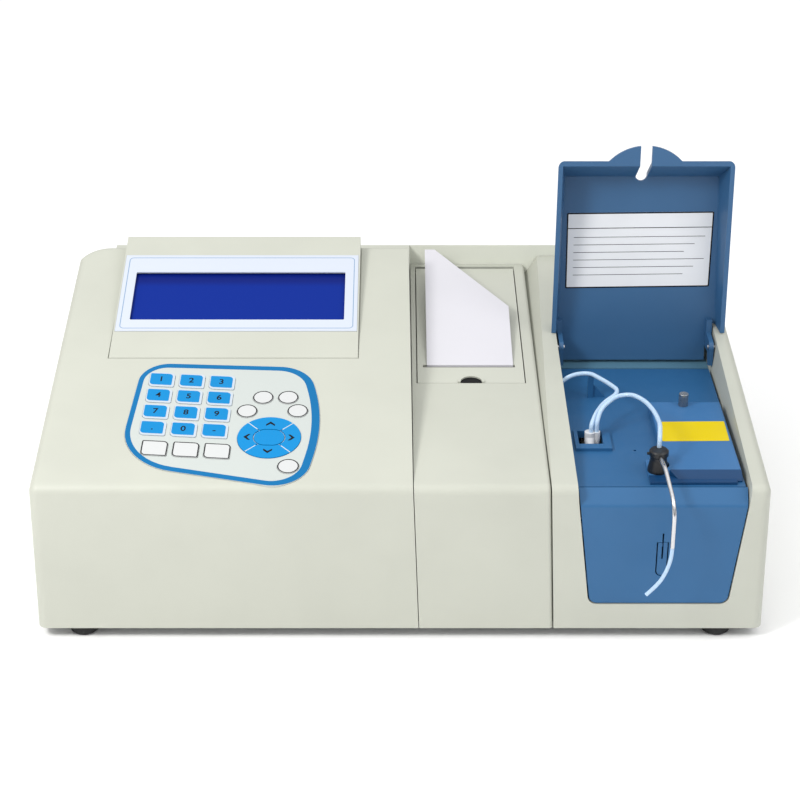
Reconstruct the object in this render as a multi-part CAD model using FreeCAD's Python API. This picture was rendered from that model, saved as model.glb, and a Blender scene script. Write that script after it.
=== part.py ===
import FreeCAD, Part
import math
import os

# Benchtop chemistry analyzer: a console with display and keypad on the left, a strip printer in the
# middle, and a sample bay under a hinged lid on the right.
# Millimetres. X runs to the right from the middle, Y from the front face back, Z up from the table.

# Case
case_width = 450.0
case_depth = 322.0
front_top = 108.0
foot_height = 8.0
case_wall = 3.0
case_edge_radius = 6.0
seam_edge_radius = 2.5
seam_gap = 0.5
side_draft = 1.5
overrun = 6.0
fit = 0.3
running_fit = 0.06

# Seams between the three covers, measured in from the right end; each leans as it goes down
console_seam_inset = 216.9
console_seam_lean = 3.7
bay_seam_inset = 133.4
bay_seam_lean = 4.2
console_seam_top = case_width / 2 - console_seam_inset
console_seam_low = console_seam_top + console_seam_lean
bay_seam_top = case_width / 2 - bay_seam_inset
bay_seam_low = bay_seam_top + bay_seam_lean

# Console cover
console_slope = 12.0
console_setback = 65.0
console_depth = case_depth - console_setback
console_corner_radius = 24.0

# Middle cover
middle_slope = 4.25
band_depth = 24.0
band_front = case_depth - band_depth
band_rise = 37.0
band_top = front_top + band_rise
band_fall = 11.0

# Sample bay cover; the bay's own pieces are drawn about the bay's middle
bay_slope = 5.5
bay_valley_width = 8.0
bay_valley_depth = 13.0
bay_corner_radius = 8.0
bay_inset = 64.6
bay_centre = case_width / 2 - bay_inset
bay_top_half = 54.2
bay_knee_half = 51.8
bay_foot_half = 43.4
deck_drop = 5.0
deck_height = front_top - deck_drop
bay_knee_drop = 6.0
bay_knee_height = deck_height - bay_knee_drop
bay_foot_height = 25.5
bay_foot_radius = 6.0
bay_back = 205.0
bay_skirt = 3.0
bay_skirt_drop = 12.0

# Rear cover
rear_inset = 19.0
rear_half_width = case_width / 2 - rear_inset
rear_corner_radius = 12.0
vent_count = 9
vent_width = 3.0
vent_height = 40.0
vent_pitch = 8.0
vent_base = 60.0
vent_inset = 150.0
window_inset = 12.0

# Base pan and feet
pan_thickness = 2.0
pan_lift = 2.5
pan_flange = 14.0
pan_margin = 1.0
pan_front_radius = 3.0
pan_back_radius = 8.0
foot_radius = 9.0
foot_inset_x = 26.0
foot_inset_y = 12.0
foot_edge = 1.5

# Keypad: places are along the console's slope, from its front edge
keypad_turn = -1.4
keypad_inset = 2.55
keypad_x = (console_seam_top - case_width / 2) / 2 - keypad_inset
keypad_y = 62.0
keypad_width = 121.0
keypad_length = 118.4
keypad_corner_shares = ((-0.513, -0.345), (0.442, -0.537), (0.529, 0.026), (0.418, 0.49), (-0.477, 0.509))
keypad_radius_shares = (0.338, 0.189, 1.4, 0.2, 0.159)
keypad_proud = 0.5
keypad_flange = 1.5
keypad_body = 2.2
keypad_body_inset = 3.0
key_rise = 0.5
key_thickness = 1.3
key_travel = 0.5
key_floor_gap = 0.2
key_gap = 0.2
key_sharp_radius = 1.0
key_round_radius = 3.4
key_width = 16.4
key_length = 14.2
key_pitch_x = 19.5
key_pitch_y = 16.35
key_columns = 3
key_rows = 4
key_first_x = -43.3
key_first_y = 42.4
plain_key_x = -40.1
plain_key_y = -26.3
row_fall_share = 0.05
ring_x = 30.0
ring_y = -14.2
ring_radius = 19.8
ring_gap = 0.7
enter_half_width = 9.5
enter_radius = 7.3
round_key_radius = 6.5
round_key_shares = ((-0.34, 2.01), (0.465, 2.03), (-0.8, 1.3), (0.815, 1.35))
reset_key_radius = 6.7
reset_key_shares = (0.69, -1.38)

# Display housing, set into the console's slope behind the keypad
display_slope = 16.0
display_inset_left = 34.5
display_inset_right = 35.7
display_keypad_gap = 8.45
display_back_inset = 4.0
display_left = display_inset_left - case_width / 2
display_right = console_seam_top - display_inset_right
display_front = (keypad_y + keypad_length / 2) * math.cos(math.radians(console_slope)) + display_keypad_gap
display_back = console_depth - display_back_inset
display_length = (display_back - display_front) / math.cos(math.radians(display_slope))
display_edge_radius = 2.5
display_seat_depth = 1.2
display_groove = 0.7
fascia_front_share = 0.2022
fascia_length_share = 0.618
fascia_front = display_length * fascia_front_share
fascia_length = display_length * fascia_length_share
fascia_margin = 0.9
fascia_thickness = 1.0
fascia_proud = 0.3
window_margin_side = 9.8
window_front_share = 0.1457
window_length_share = 0.6235
window_front = fascia_length * window_front_share
window_length = fascia_length * window_length_share
window_radius = 1.0
screen_depth = 2.2
screen_thickness = 2.0
screen_border = 2.0
cable_inset_side = 18.0
cable_inset_back = 18.0
cable_front_share = 0.5

# Printer
printer_inset_left = 3.5
printer_inset_right = 9.4
printer_inset_back = 7.5
printer_left = console_seam_top + printer_inset_left
printer_right = bay_seam_top - printer_inset_right
printer_front = 126.0
printer_back = band_front - printer_inset_back
printer_gap = 0.7
printer_back_gap = 3.0
printer_thickness = 2.5
printer_sink = 0.2
printer_hinge_back = 1.5
printer_hinge_drop = 3.4
printer_pin_radius = 1.2
printer_pin_length = 3.0
printer_lug_radius = 2.3
printer_lug_width = 6.0
printer_ledge_gap = 0.1
printer_side_wall = 2.0
printer_slot_front = 146.6
printer_slot_width = 3.4
printer_slot_inset_left = 3.6
printer_slot_inset_right = 5.6
notch_radius = 9.0
notch_depth = 3.0
paper_width = 57.5
paper_inset = 6.3
paper_left = printer_left + paper_inset
paper_thickness = 0.25
paper_rise = 10.3
paper_end_gap = 1.5
paper_stub = 1.2
paper_short_length = 70.0
paper_point_width = 7.0
roll_radius = 23.0
roll_core_radius = 6.5
roll_gap = 2.0
roll_drop = 24.0
roll_z = front_top - roll_drop
spindle_length = 8.0
platen_radius = 6.0
platen_axle_radius = 2.0
platen_y = 147.5
platen_drop = 5.0
platen_z = front_top - platen_drop
frame_wall = 2.5
frame_floor = 2.5
frame_front = 132.0
frame_inset_back = 34.5
frame_back = printer_back - frame_inset_back
roll_y = frame_back - roll_radius - roll_gap
frame_floor_gap = 9.0
frame_floor_height = roll_z - roll_radius - frame_floor_gap
frame_leg_radius = 4.0
frame_ear_rise = 11.0
frame_ear_height = platen_z + frame_ear_rise

# Deck of the sample bay, about the bay's middle
deck_thickness = 3.0
deck_front = 11.0
deck_back = 177.0
deck_step = 9.0
deck_gap = 0.3
deck_side_gap = 1.3
deck_front_gap = 0.8
rear_strip_drop = 3.6
rear_strip_gap = 9.0
deck_leg_radius = 4.0
deck_leg_inset = 12.0
port_left = -47.1
port_right = -31.7
port_front = 63.3
port_back = 81.0
port_rim_left = -49.5
port_rim_right = -26.7
port_rim_front = 57.0
port_rim_back = 83.5
port_rim_height = 2.0
post_x = -34.2
post_y = 134.4
post_width = 3.6
post_height = 15.0
post_gusset = 10.0
gusset_share = 0.6
hole_radius = 1.0
hole_x = -12.4
hole_y = 58.0

# Lamp cover, its plinth and screw
lamp_left = 2.6
lamp_right = 49.0
lamp_front = 16.5
lamp_back = 115.0
lamp_height = 6.0
lamp_bevel = 6.0
lamp_foot = 1.0
lamp_corner = 8.0
lamp_edge_radius = 1.2
plinth_left = -7.6
plinth_right = 45.6
plinth_front = 13.2
plinth_back = 42.0
plinth_height = 1.8
screw_x = 24.1
screw_y = 109.5
screw_head_radius = 3.1
screw_head_height = 8.6
screw_shank_radius = 1.5
screw_knurls = 20
screw_knurl_depth = 0.35
screw_knurl_share = 0.8

# Holder, probe and tubes
holder_x = -1.4
holder_y = 28.5
holder_base_radius = 6.5
holder_waist_radius = 5.2
holder_cap_radius = 6.0
holder_height = 14.6
holder_cap_height = 3.6
holder_foot_height = 1.2
holder_waist_height = 8.0
holder_edge = 0.9
holder_screw_radius = 0.9
holder_screw_length = 1.3
probe_radius = 1.35
probe_bore_radius = 0.8
probe_gap = 0.05
probe_bend_radius = 15.0
tube_radius = 1.45
tip_tube_radius = 1.2
arc_share = 0.45
tube_hole_reach = 7.0
connector_x = -39.6
connector_y = 74.0
connector_radius = 3.3
connector_rise = 5.0
connector_sink = 4.0
connector_top = deck_height + connector_rise
connector_foot = deck_height - connector_sink
connector_side_x = -35.3
connector_side_y = 74.6
connector_side_radius = 2.4
connector_side_top = connector_top
connector_elbow = 9.0
connector_elbow_radius = 3.1
connector_elbow_reach = 5.5
connector_stem = 27.0
connector_bridge_radius = 2.1
connector_bridge_drop = 1.5
connector_bridge_height = deck_height - connector_bridge_drop

# Lid, described closed: lengths run forward from the hinge, heights up from it
hinge_y = 178.0
hinge_rise = 11.0
hinge_z = front_top + hinge_rise
lid_open_angle = 97.0
lid_half_width = 59.0
lid_shift = 1.8
lid_wall = 3.0
lid_top = 21.0
lid_rim_gap = 0.6
lid_length = 130.0
lid_front_run = 14.0
lid_panel_length = lid_length - lid_front_run
lid_side_draft = 2.6
lid_taper = 0.9
lid_rim_back = 8.2
lid_panel_back = 12.0
lid_tail = 15.0
lid_tail_half = 49.4
lid_edge_radius = 1.4
lid_corner_radius = 4.5
tab_shift = 1.2
tab_half_width = 23.5
tab_length = 10.0
slot_width = 7.6
slot_run = 19.0
ear_thickness = 3.0
ear_radius = 4.5
ear_tail = 12.5
ear_tail_half = 2.5
ear_root = 8.0
ear_root_width = 3.8
pin_radius = 1.5
pin_length = 9.0
pin_head_radius = 2.0
pin_head_length = 0.8

# Front door and trigger
door_gap = 0.8
door_thickness = 2.5
door_sink = 0.6
door_bevel_height = 7.5
door_clip_width = 4.0
door_clip_height = 10.0
door_clip_inset = 12.0
door_clip_reach = 6.0
door_clip_root = 2.4
tongue_x = 0.6
tongue_half = 2.9
tongue_top = 69.5
tongue_foot = 46.5
tongue_gap = 0.8
tongue_top_gap = 0.35
tongue_pin_radius = 1.0
tongue_pin_length = 3.0
tongue_pin_set = 1.5
tongue_rib = 3.5
tongue_slot_half = 0.5
tongue_slot_top = 76.0
tongue_slot_foot = 58.0
knuckle_radius = 1.6

# Pieces inside
board_thickness = 1.6
board_inset_left = 20.0
board_inset_right = 48.1
board_inset_back = 57.0
board_left = board_inset_left - case_width / 2
board_right = console_seam_top - board_inset_right
board_front = 40.0
board_back = console_depth - board_inset_back
board_lift = 8.0
standoff_radius = 3.0
standoff_inset = 6.0
chip_size = 20.0
chip_height = 3.0
chip_columns = 4
supply_inset_left = 75.0
supply_inset_right = 58.1
supply_inset_front = 5.0
supply_inset_back = 26.0
supply_left = supply_inset_left - case_width / 2
supply_right = console_seam_top - supply_inset_right
supply_front = console_depth + supply_inset_front
supply_back = case_depth - supply_inset_back
supply_height = 60.0
supply_radius = 2.0
inlet_inset = 50.0
inlet_x = inlet_inset - case_width / 2
inlet_z = 44.0
inlet_half_width = 14.0
inlet_half_height = 12.0
inlet_depth = 24.0
inlet_flange = 4.0
inlet_flange_thickness = 2.0
inlet_wall = 2.0
inlet_pin_radius = 1.6
inlet_pin_length = 10.0
inlet_pin_spread = 7.0
switch_spacing = 26.0
switch_x = inlet_x + switch_spacing
switch_half_width = 7.0
switch_half_height = 10.0
switch_frame = 2.0
switch_depth = 16.0
rocker_rise = 3.0
rocker_tilt = 8.0
rocker_axle_radius = 1.5
photometer_left = 5.6
photometer_right = 41.6
photometer_front = 30.0
photometer_back = 105.0
photometer_height = 70.0
photometer_barrel_radius = 9.0
photometer_barrel_length = 22.0
photometer_barrel_inset = 13.5
photometer_window_radius = 5.0
pump_x = -24.4
pump_y = 60.0
pump_radius = 22.0
pump_wall = 3.0
pump_height = 34.0
pump_floor = 6.0
rotor_radius = 13.0
rotor_height = 18.0
rotor_roller_radius = 4.0
rotor_roller_count = 3
rotor_axle_radius = 2.5

# The case's bottom centre is the origin: the probe reaches furthest forward, the rear cover furthest back
probe_front = -18.0
centre_y = (probe_front - probe_radius + case_depth + inlet_flange_thickness) / 2

# Routes of the probe and the soft tubes, about the bay's middle
probe_route = [(-1.3, 28.0, 116.1), (0.2, 8.0, 116.8), (3.6, -18.0, 105.0), (3.6, -18.0, 77.0)]
tip_route = [(3.6, -18.0, 77.0), (3.6, -18.0, 70.5), (0.8, -18.8, 60.5), (-3.8, -19.4, 51.8),
             (-10.8, -20.0, 45.0)]
drain_route = [(-38.8, 74.0, 108.0), (-38.8, 74.0, 113.0), (-35.6, 82.0, 116.6), (-29.6, 94.0, 118.6),
               (-18.0, 103.4, 121.8), (-24.2, 118.0, 120.9), (-35.0, 136.2, 119.7), (-46.8, 136.6, 118.0),
               (-55.9, 132.6, 113.0)]
sipper_route = [(-35.3, 74.6, 108.0), (-35.3, 74.6, 115.0), (-32.2, 82.5, 120.3), (-22.6, 88.2, 126.3),
                (-12.6, 86.2, 128.6), (-5.4, 75.5, 129.2), (-1.2, 62.0, 128.8), (0.4, 49.0, 128.2),
                (0.1, 41.5, 128.8), (-1.0, 31.6, 126.6), (-1.0, 31.6, 119.4)]


def point(x, y, z):
    return FreeCAD.Vector(x, y, z)


def box(x0, x1, y0, y1, z0, z1):
    return Part.makeBox(x1 - x0, y1 - y0, z1 - z0, point(x0, y0, z0))


def cylinder(radius, start, end):
    axis = end - start
    return Part.makeCylinder(radius, axis.Length, start, axis)


def rounded_wire(corners, radii):
    # A closed wire through the corners, each turned by an arc of its own radius.
    edges = []
    count = len(corners)
    arcs = []
    for i, corner in enumerate(corners):
        before = (corners[i - 1] - corner).normalize()
        after = (corners[(i + 1) % count] - corner).normalize()
        half_turn = (math.pi - before.getAngle(after)) / 2
        reach = radii[i] * math.tan(half_turn)
        start = corner + before * reach
        end = corner + after * reach
        inward = before + after
        middle = corner
        if radii[i] > 0:
            inward.normalize()
            middle = corner + inward * (radii[i] / math.cos(half_turn) - radii[i])
        arcs.append((start, middle, end))
    for i, (start, middle, end) in enumerate(arcs):
        if radii[i] > 0:
            edges.append(Part.Arc(start, middle, end).toShape())
        edges.append(Part.makeLine(end, arcs[(i + 1) % count][0]))
    return Part.Wire(edges)


def moved_in(outline, distance):
    # The outline's corners with every side moved in; the corners run anticlockwise.
    result = []
    count = len(outline)
    for i, (x, y) in enumerate(outline):
        lines = []
        for (ax, ay), (bx, by) in ((outline[i - 1], (x, y)), ((x, y), outline[(i + 1) % count])):
            length = math.hypot(bx - ax, by - ay)
            lines.append(((bx - ax) / length, (by - ay) / length))
        (ux, uy), (vx, vy) = lines
        cross = ux * vy - uy * vx
        across_x, across_y = -uy - vy, ux + vx
        along = distance / (1 + ux * vx + uy * vy)
        if cross == 0:
            along = distance / 2
        result.append((x + across_x * along, y + across_y * along))
    return result


def side_prism(outline, x0, x1, radii=None):
    # An outline in Y and Z, drawn along X.
    corners = [point(x0, y, z) for y, z in outline]
    wire = rounded_wire(corners, radii or [0] * len(outline))
    return Part.Face(wire).extrude(point(x1 - x0, 0, 0))


def front_prism(outline, y0, y1, radii=None):
    # An outline in X and Z, drawn along Y.
    corners = [point(x, y0, z) for x, z in outline]
    wire = rounded_wire(corners, radii or [0] * len(outline))
    return Part.Face(wire).extrude(point(0, y1 - y0, 0))


def plan_prism(outline, z0, z1, radii=None):
    # An outline in X and Y, drawn along Z.
    corners = [point(x, y, z0) for x, y in outline]
    wire = rounded_wire(corners, radii or [0] * len(outline))
    return Part.Face(wire).extrude(point(0, 0, z1 - z0))


def revolved(profile, x, y):
    # A profile of radius and height, turned about a vertical axis.
    corners = [point(x + radius, y, z) for radius, z in profile]
    wire = Part.makePolygon(corners + [corners[0]])
    return Part.Face(wire).revolve(point(x, y, 0), point(0, 0, 1), 360)


def edges_where(shape, test):
    # The edges whose two ends and middle all pass the test.
    found = []
    for edge in shape.Edges:
        first, last = edge.ParameterRange
        samples = [edge.valueAt(first), edge.valueAt((first + last) / 2), edge.valueAt(last)]
        if all(test(p) for p in samples):
            found.append(edge)
    return found


def turned(shape, axis_point, axis, angle):
    copy = shape.copy()
    copy.rotate(axis_point, axis, angle)
    return copy


def in_bay(shape):
    # From the bay's middle, where its pieces are drawn, into place.
    placed = shape.copy()
    placed.translate(point(bay_centre, 0, 0))
    return placed


def slope_height(angle, y):
    return front_top + y * math.tan(math.radians(angle))


def lean(top_x, low_x, z):
    # A wall's place at a height: it leans in a straight line from its lower to its top edge.
    return top_x + (low_x - top_x) * (front_top - z) / (front_top - foot_height)


def near(value, target):
    return abs(value - target) < fit / 100


def less(edges, others):
    return [edge for edge in edges if not any(edge.isSame(other) for other in others)]


def bent_tube(route, radius, bore=0, bend_radius=0, name=""):
    # A tube along straight runs joined by tangent arcs.
    stops = [point(*p) for p in route]
    edges = []
    here = stops[0]
    radii = []
    for i in range(1, len(stops) - 1):
        back = stops[i - 1] - stops[i]
        ahead = stops[i + 1] - stops[i]
        half_turn = (math.pi - back.getAngle(ahead)) / 2
        shorter = min(back.Length, ahead.Length)
        bend = bend_radius or arc_share * shorter / math.tan(half_turn)
        radii.append(round(bend, 1))
        reach = bend * math.tan(half_turn)
        back.normalize()
        ahead.normalize()
        start = stops[i] + back * reach
        end = stops[i] + ahead * reach
        inward = back + ahead
        inward.normalize()
        middle = stops[i] + inward * (bend / math.cos(half_turn) - bend)
        edges.append(Part.LineSegment(here, start).toShape())
        edges.append(Part.Arc(start, middle, end).toShape())
        here = end
    edges.append(Part.LineSegment(here, stops[-1]).toShape())
    spine = Part.Wire(edges)
    heading = stops[1] - stops[0]
    section = Part.Wire([Part.makeCircle(radius, stops[0], heading)])
    tube = spine.makePipeShell([section], True, False)
    area = math.pi * radius * radius
    print(name, "length", round(spine.Length, 1), "radii", radii,
          "volume over section", round(tube.Volume / area, 1))
    if bore:
        hole = Part.Wire([Part.makeCircle(bore, stops[0], heading)])
        tube = tube.cut(spine.makePipeShell([hole], True, False))
    return tube


# Covers

def left_wall_x(z):
    return lean(-case_width / 2, -case_width / 2 - side_draft, z)


def right_wall_x(z):
    return lean(case_width / 2, case_width / 2 + side_draft, z)


def console_seam_x(z):
    return lean(console_seam_top, console_seam_low, z)


def bay_seam_x(z):
    return lean(bay_seam_top, bay_seam_low, z)


def console_body(inset):
    # The console's outer form, or with an inset its hollow.
    top = band_top + case_depth
    low = foot_height - inset * overrun
    section = moved_in([(0, foot_height), (console_depth, foot_height),
                        (console_depth, slope_height(console_slope, console_depth)), (0, front_top)], inset)
    section = [(section[0][0], low), (section[1][0], low), section[2], section[3]]
    left = left_wall_x(low) + inset
    front = [(left, low), (console_seam_x(low) - seam_gap / 2 - inset, low),
             (console_seam_x(top) - seam_gap / 2 - inset, top), (left_wall_x(top) + inset, top)]
    reach = case_width
    plan = [(left, -reach), (reach, -reach), (reach, console_depth - inset), (left, console_depth - inset)]
    body = side_prism(section, -reach, reach)
    body = body.common(front_prism(front, -reach, reach))
    return body.common(plan_prism(plan, low - reach, top, [0, 0, 0, console_corner_radius - inset]))


def console_cover():
    body = console_body(0)

    def on_top(p):
        return near(p.z, slope_height(console_slope, p.y))

    def seam(p):
        return on_top(p) and near(p.x, console_seam_x(p.z) - seam_gap / 2)

    def front_corner(p):
        return near(p.y, 0) and near(p.x, left_wall_x(p.z))

    rounded = less(edges_where(body, on_top) + edges_where(body, front_corner), edges_where(body, seam))
    body = body.makeFillet(case_edge_radius, rounded)
    cover = body.cut(console_body(case_wall))
    window = box(left_wall_x(front_top) + console_corner_radius, -console_corner_radius,
                 console_depth - case_wall - overrun, console_depth + overrun,
                 foot_height - overrun, front_top)
    cover = cover.cut(window).cut(keypad_opening()).cut(display_seat())
    cover = cover.cut(screen_box(screen_border + fit, -overrun, screen_depth + screen_thickness + fit))
    return cover.cut(display_opening()).cut(pan_room())


def middle_body(inset):
    low = foot_height - inset * overrun
    top = band_top + case_depth
    reach = case_width
    section = moved_in([(0, foot_height), (band_front - seam_gap, foot_height),
                        (band_front - seam_gap, slope_height(middle_slope, band_front - seam_gap)),
                        (0, front_top)], inset)
    section = [(section[0][0], low), (section[1][0], low), section[2], section[3]]
    step = seam_gap / 2 + inset
    front = [(console_seam_x(low) + step, low), (bay_seam_x(low) - step, low),
             (bay_seam_x(top) - step, top), (console_seam_x(top) + step, top)]
    return side_prism(section, -reach, reach).common(front_prism(front, -reach, reach))


def middle_cover():
    body = middle_body(0)

    def on_top(p):
        return near(p.z, slope_height(middle_slope, p.y))

    def front_edge(p):
        return on_top(p) and near(p.y, 0)

    def bay_edge(p):
        return on_top(p) and near(p.x, bay_seam_x(p.z) - seam_gap / 2)

    body = body.makeFillet(case_edge_radius, edges_where(body, front_edge))
    body = body.makeFillet(seam_edge_radius, edges_where(body, bay_edge))
    cover = body.cut(middle_body(case_wall))
    rear_window = box(printer_left + printer_side_wall, printer_right,
                      band_front - seam_gap - case_wall - overrun, band_front + overrun,
                      foot_height - overrun, front_top)
    cover = cover.cut(rear_window)
    mouth = box(printer_left - printer_gap, printer_right + printer_gap, printer_front - printer_gap,
                printer_back + printer_back_gap, front_top - overrun * overrun, band_top + overrun)
    cover = cover.cut(mouth)
    # A short curb below the mouth's sides carries the printer cover's pins.
    for x0, x1 in ((printer_left - printer_gap - printer_side_wall, printer_left - printer_gap),
                   (printer_right + printer_gap, printer_right + printer_gap + printer_side_wall + fit)):
        hinge = printer_hinge()
        curb = box(x0, x1, hinge.y - printer_lug_width, hinge.y + printer_hinge_back + printer_back_gap,
                   hinge.z - printer_lug_radius - printer_side_wall, hinge.z + printer_lug_radius)
        cover = cover.fuse(curb.common(middle_body(case_wall / 2)))
    cover = cover.cut(cylinder(printer_pin_radius + running_fit, point(0, hinge.y, hinge.z),
                               point(bay_seam_top - seam_gap, hinge.y, hinge.z)))
    ledge = box(printer_left - printer_gap, printer_right + printer_gap, printer_front - printer_gap,
                printer_front + printer_side_wall, front_top - overrun, band_top)
    under = slope_wedge(middle_slope, printer_sink + printer_thickness + printer_ledge_gap,
                        printer_sink + printer_thickness * 2)
    return cover.fuse(ledge.common(under)).cut(pan_room()).removeSplitter()


def slope_wedge(angle, depth_from, depth_to):
    # The layer between two depths below a sloping top.
    y0, y1 = -overrun, case_depth
    outline = [(y0, slope_height(angle, y0) - depth_to), (y1, slope_height(angle, y1) - depth_to),
               (y1, slope_height(angle, y1) - depth_from), (y0, slope_height(angle, y0) - depth_from)]
    return side_prism(outline, -case_width, case_width)


def bay_outline(grow):
    # The bay's opening seen from the front: a trapezoid below, a slightly flaring well above.
    top = band_top + overrun
    well_rise = slope_height(bay_slope, bay_back) - bay_knee_height
    half_top = bay_knee_half + (bay_top_half - bay_knee_half) * (top - bay_knee_height) / well_rise + grow
    half_knee = bay_knee_half + grow
    half_foot = bay_foot_half + grow
    return [(-half_foot, bay_foot_height - grow), (half_foot, bay_foot_height - grow),
            (half_knee, bay_knee_height), (half_top, top), (-half_top, top), (-half_knee, bay_knee_height)]


def bay_prism(grow, y0, y1):
    corner = bay_foot_radius + grow
    return front_prism(bay_outline(grow), y0, y1, [corner, corner, 0, 0, 0, 0])


def bay_body(inset):
    low = foot_height - inset * overrun
    top = band_top + case_depth
    reach = case_width
    back = band_front - seam_gap
    section = moved_in([(0, foot_height), (back, foot_height),
                        (back, slope_height(bay_slope, back)), (0, front_top)], inset)
    section = [(section[0][0], low), (section[1][0], low), section[2], section[3]]
    front = [(bay_seam_x(low) + seam_gap / 2 + inset, low), (right_wall_x(low) - inset, low),
             (right_wall_x(top) - inset, top), (bay_seam_x(top) + seam_gap / 2 + inset, top)]
    body = side_prism(section, -reach, reach).common(front_prism(front, -reach, reach))
    plan = [(0, -reach), (right_wall_x(low) - inset, -reach), (right_wall_x(low) - inset, back - inset),
            (0, back - inset)]
    body = body.common(plan_prism(plan, low - reach, top, [0, 0, bay_corner_radius - inset / 2, 0]))
    # The side towards the printer falls away into a valley that widens to the back.
    seam = bay_seam_top + seam_gap / 2 + inset
    front_point = point(seam, 0, front_top - inset)
    back_height = slope_height(bay_slope, band_front) - inset
    valley = [front_point, point(seam + bay_valley_width, band_front, back_height),
              point(seam, band_front, back_height - bay_valley_depth)]
    face_normal = (valley[1] - valley[0]).cross(valley[2] - valley[0]).normalize()
    if face_normal.x > 0:
        face_normal = face_normal * -1
    sheet = Part.makePlane(reach * 4, reach * 4, front_point, face_normal)
    middle = sheet.CenterOfMass
    sheet.translate(front_point - middle)
    return body.cut(sheet.extrude(face_normal * reach))


def bay_cover():
    body = bay_body(0)

    def on_top(p):
        return near(p.z, slope_height(bay_slope, p.y))

    def outer_edge(p):
        right = near(p.x, right_wall_x(p.z)) and (on_top(p) or near(p.y, 0))
        return right or (on_top(p) and near(p.y, 0))

    body = body.makeFillet(case_edge_radius, edges_where(body, outer_edge))
    cover = body.cut(bay_body(case_wall))
    skirt_foot = deck_height - bay_skirt_drop
    deck_top = box(0, case_width, -overrun, bay_back + bay_skirt, skirt_foot, band_top)
    skirt = in_bay(bay_prism(bay_skirt, case_wall / 2, bay_back + bay_skirt)).common(deck_top).common(body)
    cover = cover.fuse(skirt)
    mouth = box(0, case_width, -overrun, case_wall + overrun, 0, band_top + overrun)
    well = box(0, case_width, -overrun, bay_back, skirt_foot - overrun, band_top + overrun)
    opening = in_bay(bay_prism(0, -overrun, bay_back))
    cover = cover.cut(opening.common(mouth)).cut(opening.common(well))
    rear_window = box(bay_seam_low + window_inset, case_width / 2 - window_inset,
                      band_front - seam_gap - case_wall - overrun, band_front + overrun,
                      foot_height - overrun, front_top)
    cover = cover.cut(rear_window)
    return cover.cut(in_bay(tube_hole())).cut(in_bay(pin_holes())).cut(pan_room()).removeSplitter()


def tube_hole():
    # The drain tube leaves the bay through the wall beside the printer.
    inner, outer = point(*drain_route[-2]), point(*drain_route[-1])
    ahead = (outer - inner).normalize()
    return cylinder(tube_radius + fit, outer - ahead * tube_hole_reach, outer + ahead * tube_hole_reach)


def rear_cover():
    top_line = [(band_front, band_top), (case_depth, band_top - band_fall)]
    console_back = console_depth + seam_gap
    rise = (band_front - console_back) * math.tan(math.radians(middle_slope))
    solids = []
    for inset in (0, case_wall):
        low = foot_height - inset * overrun
        long_outline = moved_in([(console_back, foot_height), (case_depth, foot_height), top_line[1],
                                 top_line[0], (console_back, band_top - rise)], inset)
        long_outline = [(console_back - inset * 2, low), (long_outline[1][0], low), long_outline[2],
                        long_outline[3], (console_back - inset * 2, long_outline[4][1])]
        short_outline = moved_in([(band_front, foot_height), (case_depth, foot_height), top_line[1],
                                  top_line[0]], inset)
        short_outline = [(band_front - inset * 2, low), (short_outline[1][0], low), short_outline[2],
                         short_outline[3]]
        if inset:
            short_outline += [(short_outline[3][0], front_top), (band_front - inset * 2, front_top)]
        seam = console_seam_x(band_top)
        half = rear_half_width - inset
        body = side_prism(long_outline, -half, seam - inset)
        body = body.fuse(side_prism(short_outline, seam - inset - overrun, half))
        plan = [(-half, 0), (half, 0), (half, case_depth - inset), (-half, case_depth - inset)]
        corner = rear_corner_radius - inset
        solids.append(body.common(plan_prism(plan, low, band_top + case_depth, [0, 0, corner, corner])))
    cover = solids[0].cut(solids[1])
    for i in range(vent_count):
        x = case_width / 2 - vent_inset + i * vent_pitch
        cover = cover.cut(box(x, x + vent_width, case_depth - case_wall - overrun, case_depth + overrun,
                              vent_base, vent_base + vent_height))
    inlet = box(inlet_x - inlet_half_width - fit, inlet_x + inlet_half_width + fit,
                case_depth - case_wall - overrun, case_depth + overrun,
                inlet_z - inlet_half_height - fit, inlet_z + inlet_half_height + fit)
    switch = box(switch_x - switch_half_width - fit, switch_x + switch_half_width + fit,
                 case_depth - case_wall - overrun, case_depth + overrun,
                 inlet_z - switch_half_height - fit, inlet_z + switch_half_height + fit)
    return cover.cut(inlet).cut(switch).cut(pan_room()).removeSplitter()


def pan_plate(grow, z0, z1):
    margin = case_wall + pan_margin - grow
    left = left_wall_x(foot_height) + margin
    right = right_wall_x(foot_height) - margin
    back = case_depth - margin
    bay_depth = band_front - seam_gap - margin
    outline = [(left, margin), (right, margin), (right, bay_depth), (rear_half_width - margin, bay_depth),
               (rear_half_width - margin, back), (-rear_half_width + margin, back),
               (-rear_half_width + margin, console_depth - margin), (left, console_depth - margin)]
    return plan_prism(outline, z0, z1, [pan_front_radius, pan_front_radius, pan_back_radius, 0,
                                        pan_back_radius, pan_back_radius, 0, console_corner_radius])


def pan_room():
    # The seams' walls stop short of the pan.
    return pan_plate(fit, 0, pan_top() + fit)


def base_pan():
    margin = case_wall + pan_margin
    left = left_wall_x(foot_height) + margin
    right = right_wall_x(foot_height) - margin
    floor = foot_height + pan_lift
    pan = pan_plate(0, floor, floor + pan_thickness)
    for x0, x1 in ((left, console_seam_low - margin), (console_seam_low + margin, bay_seam_low - margin),
                   (bay_seam_low + margin, right)):
        pan = pan.fuse(box(x0 + pan_front_radius, x1 - pan_front_radius, margin, margin + pan_thickness,
                           floor, floor + pan_flange))
    return pan.removeSplitter()


def pan_top():
    return foot_height + pan_lift + pan_thickness


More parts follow.
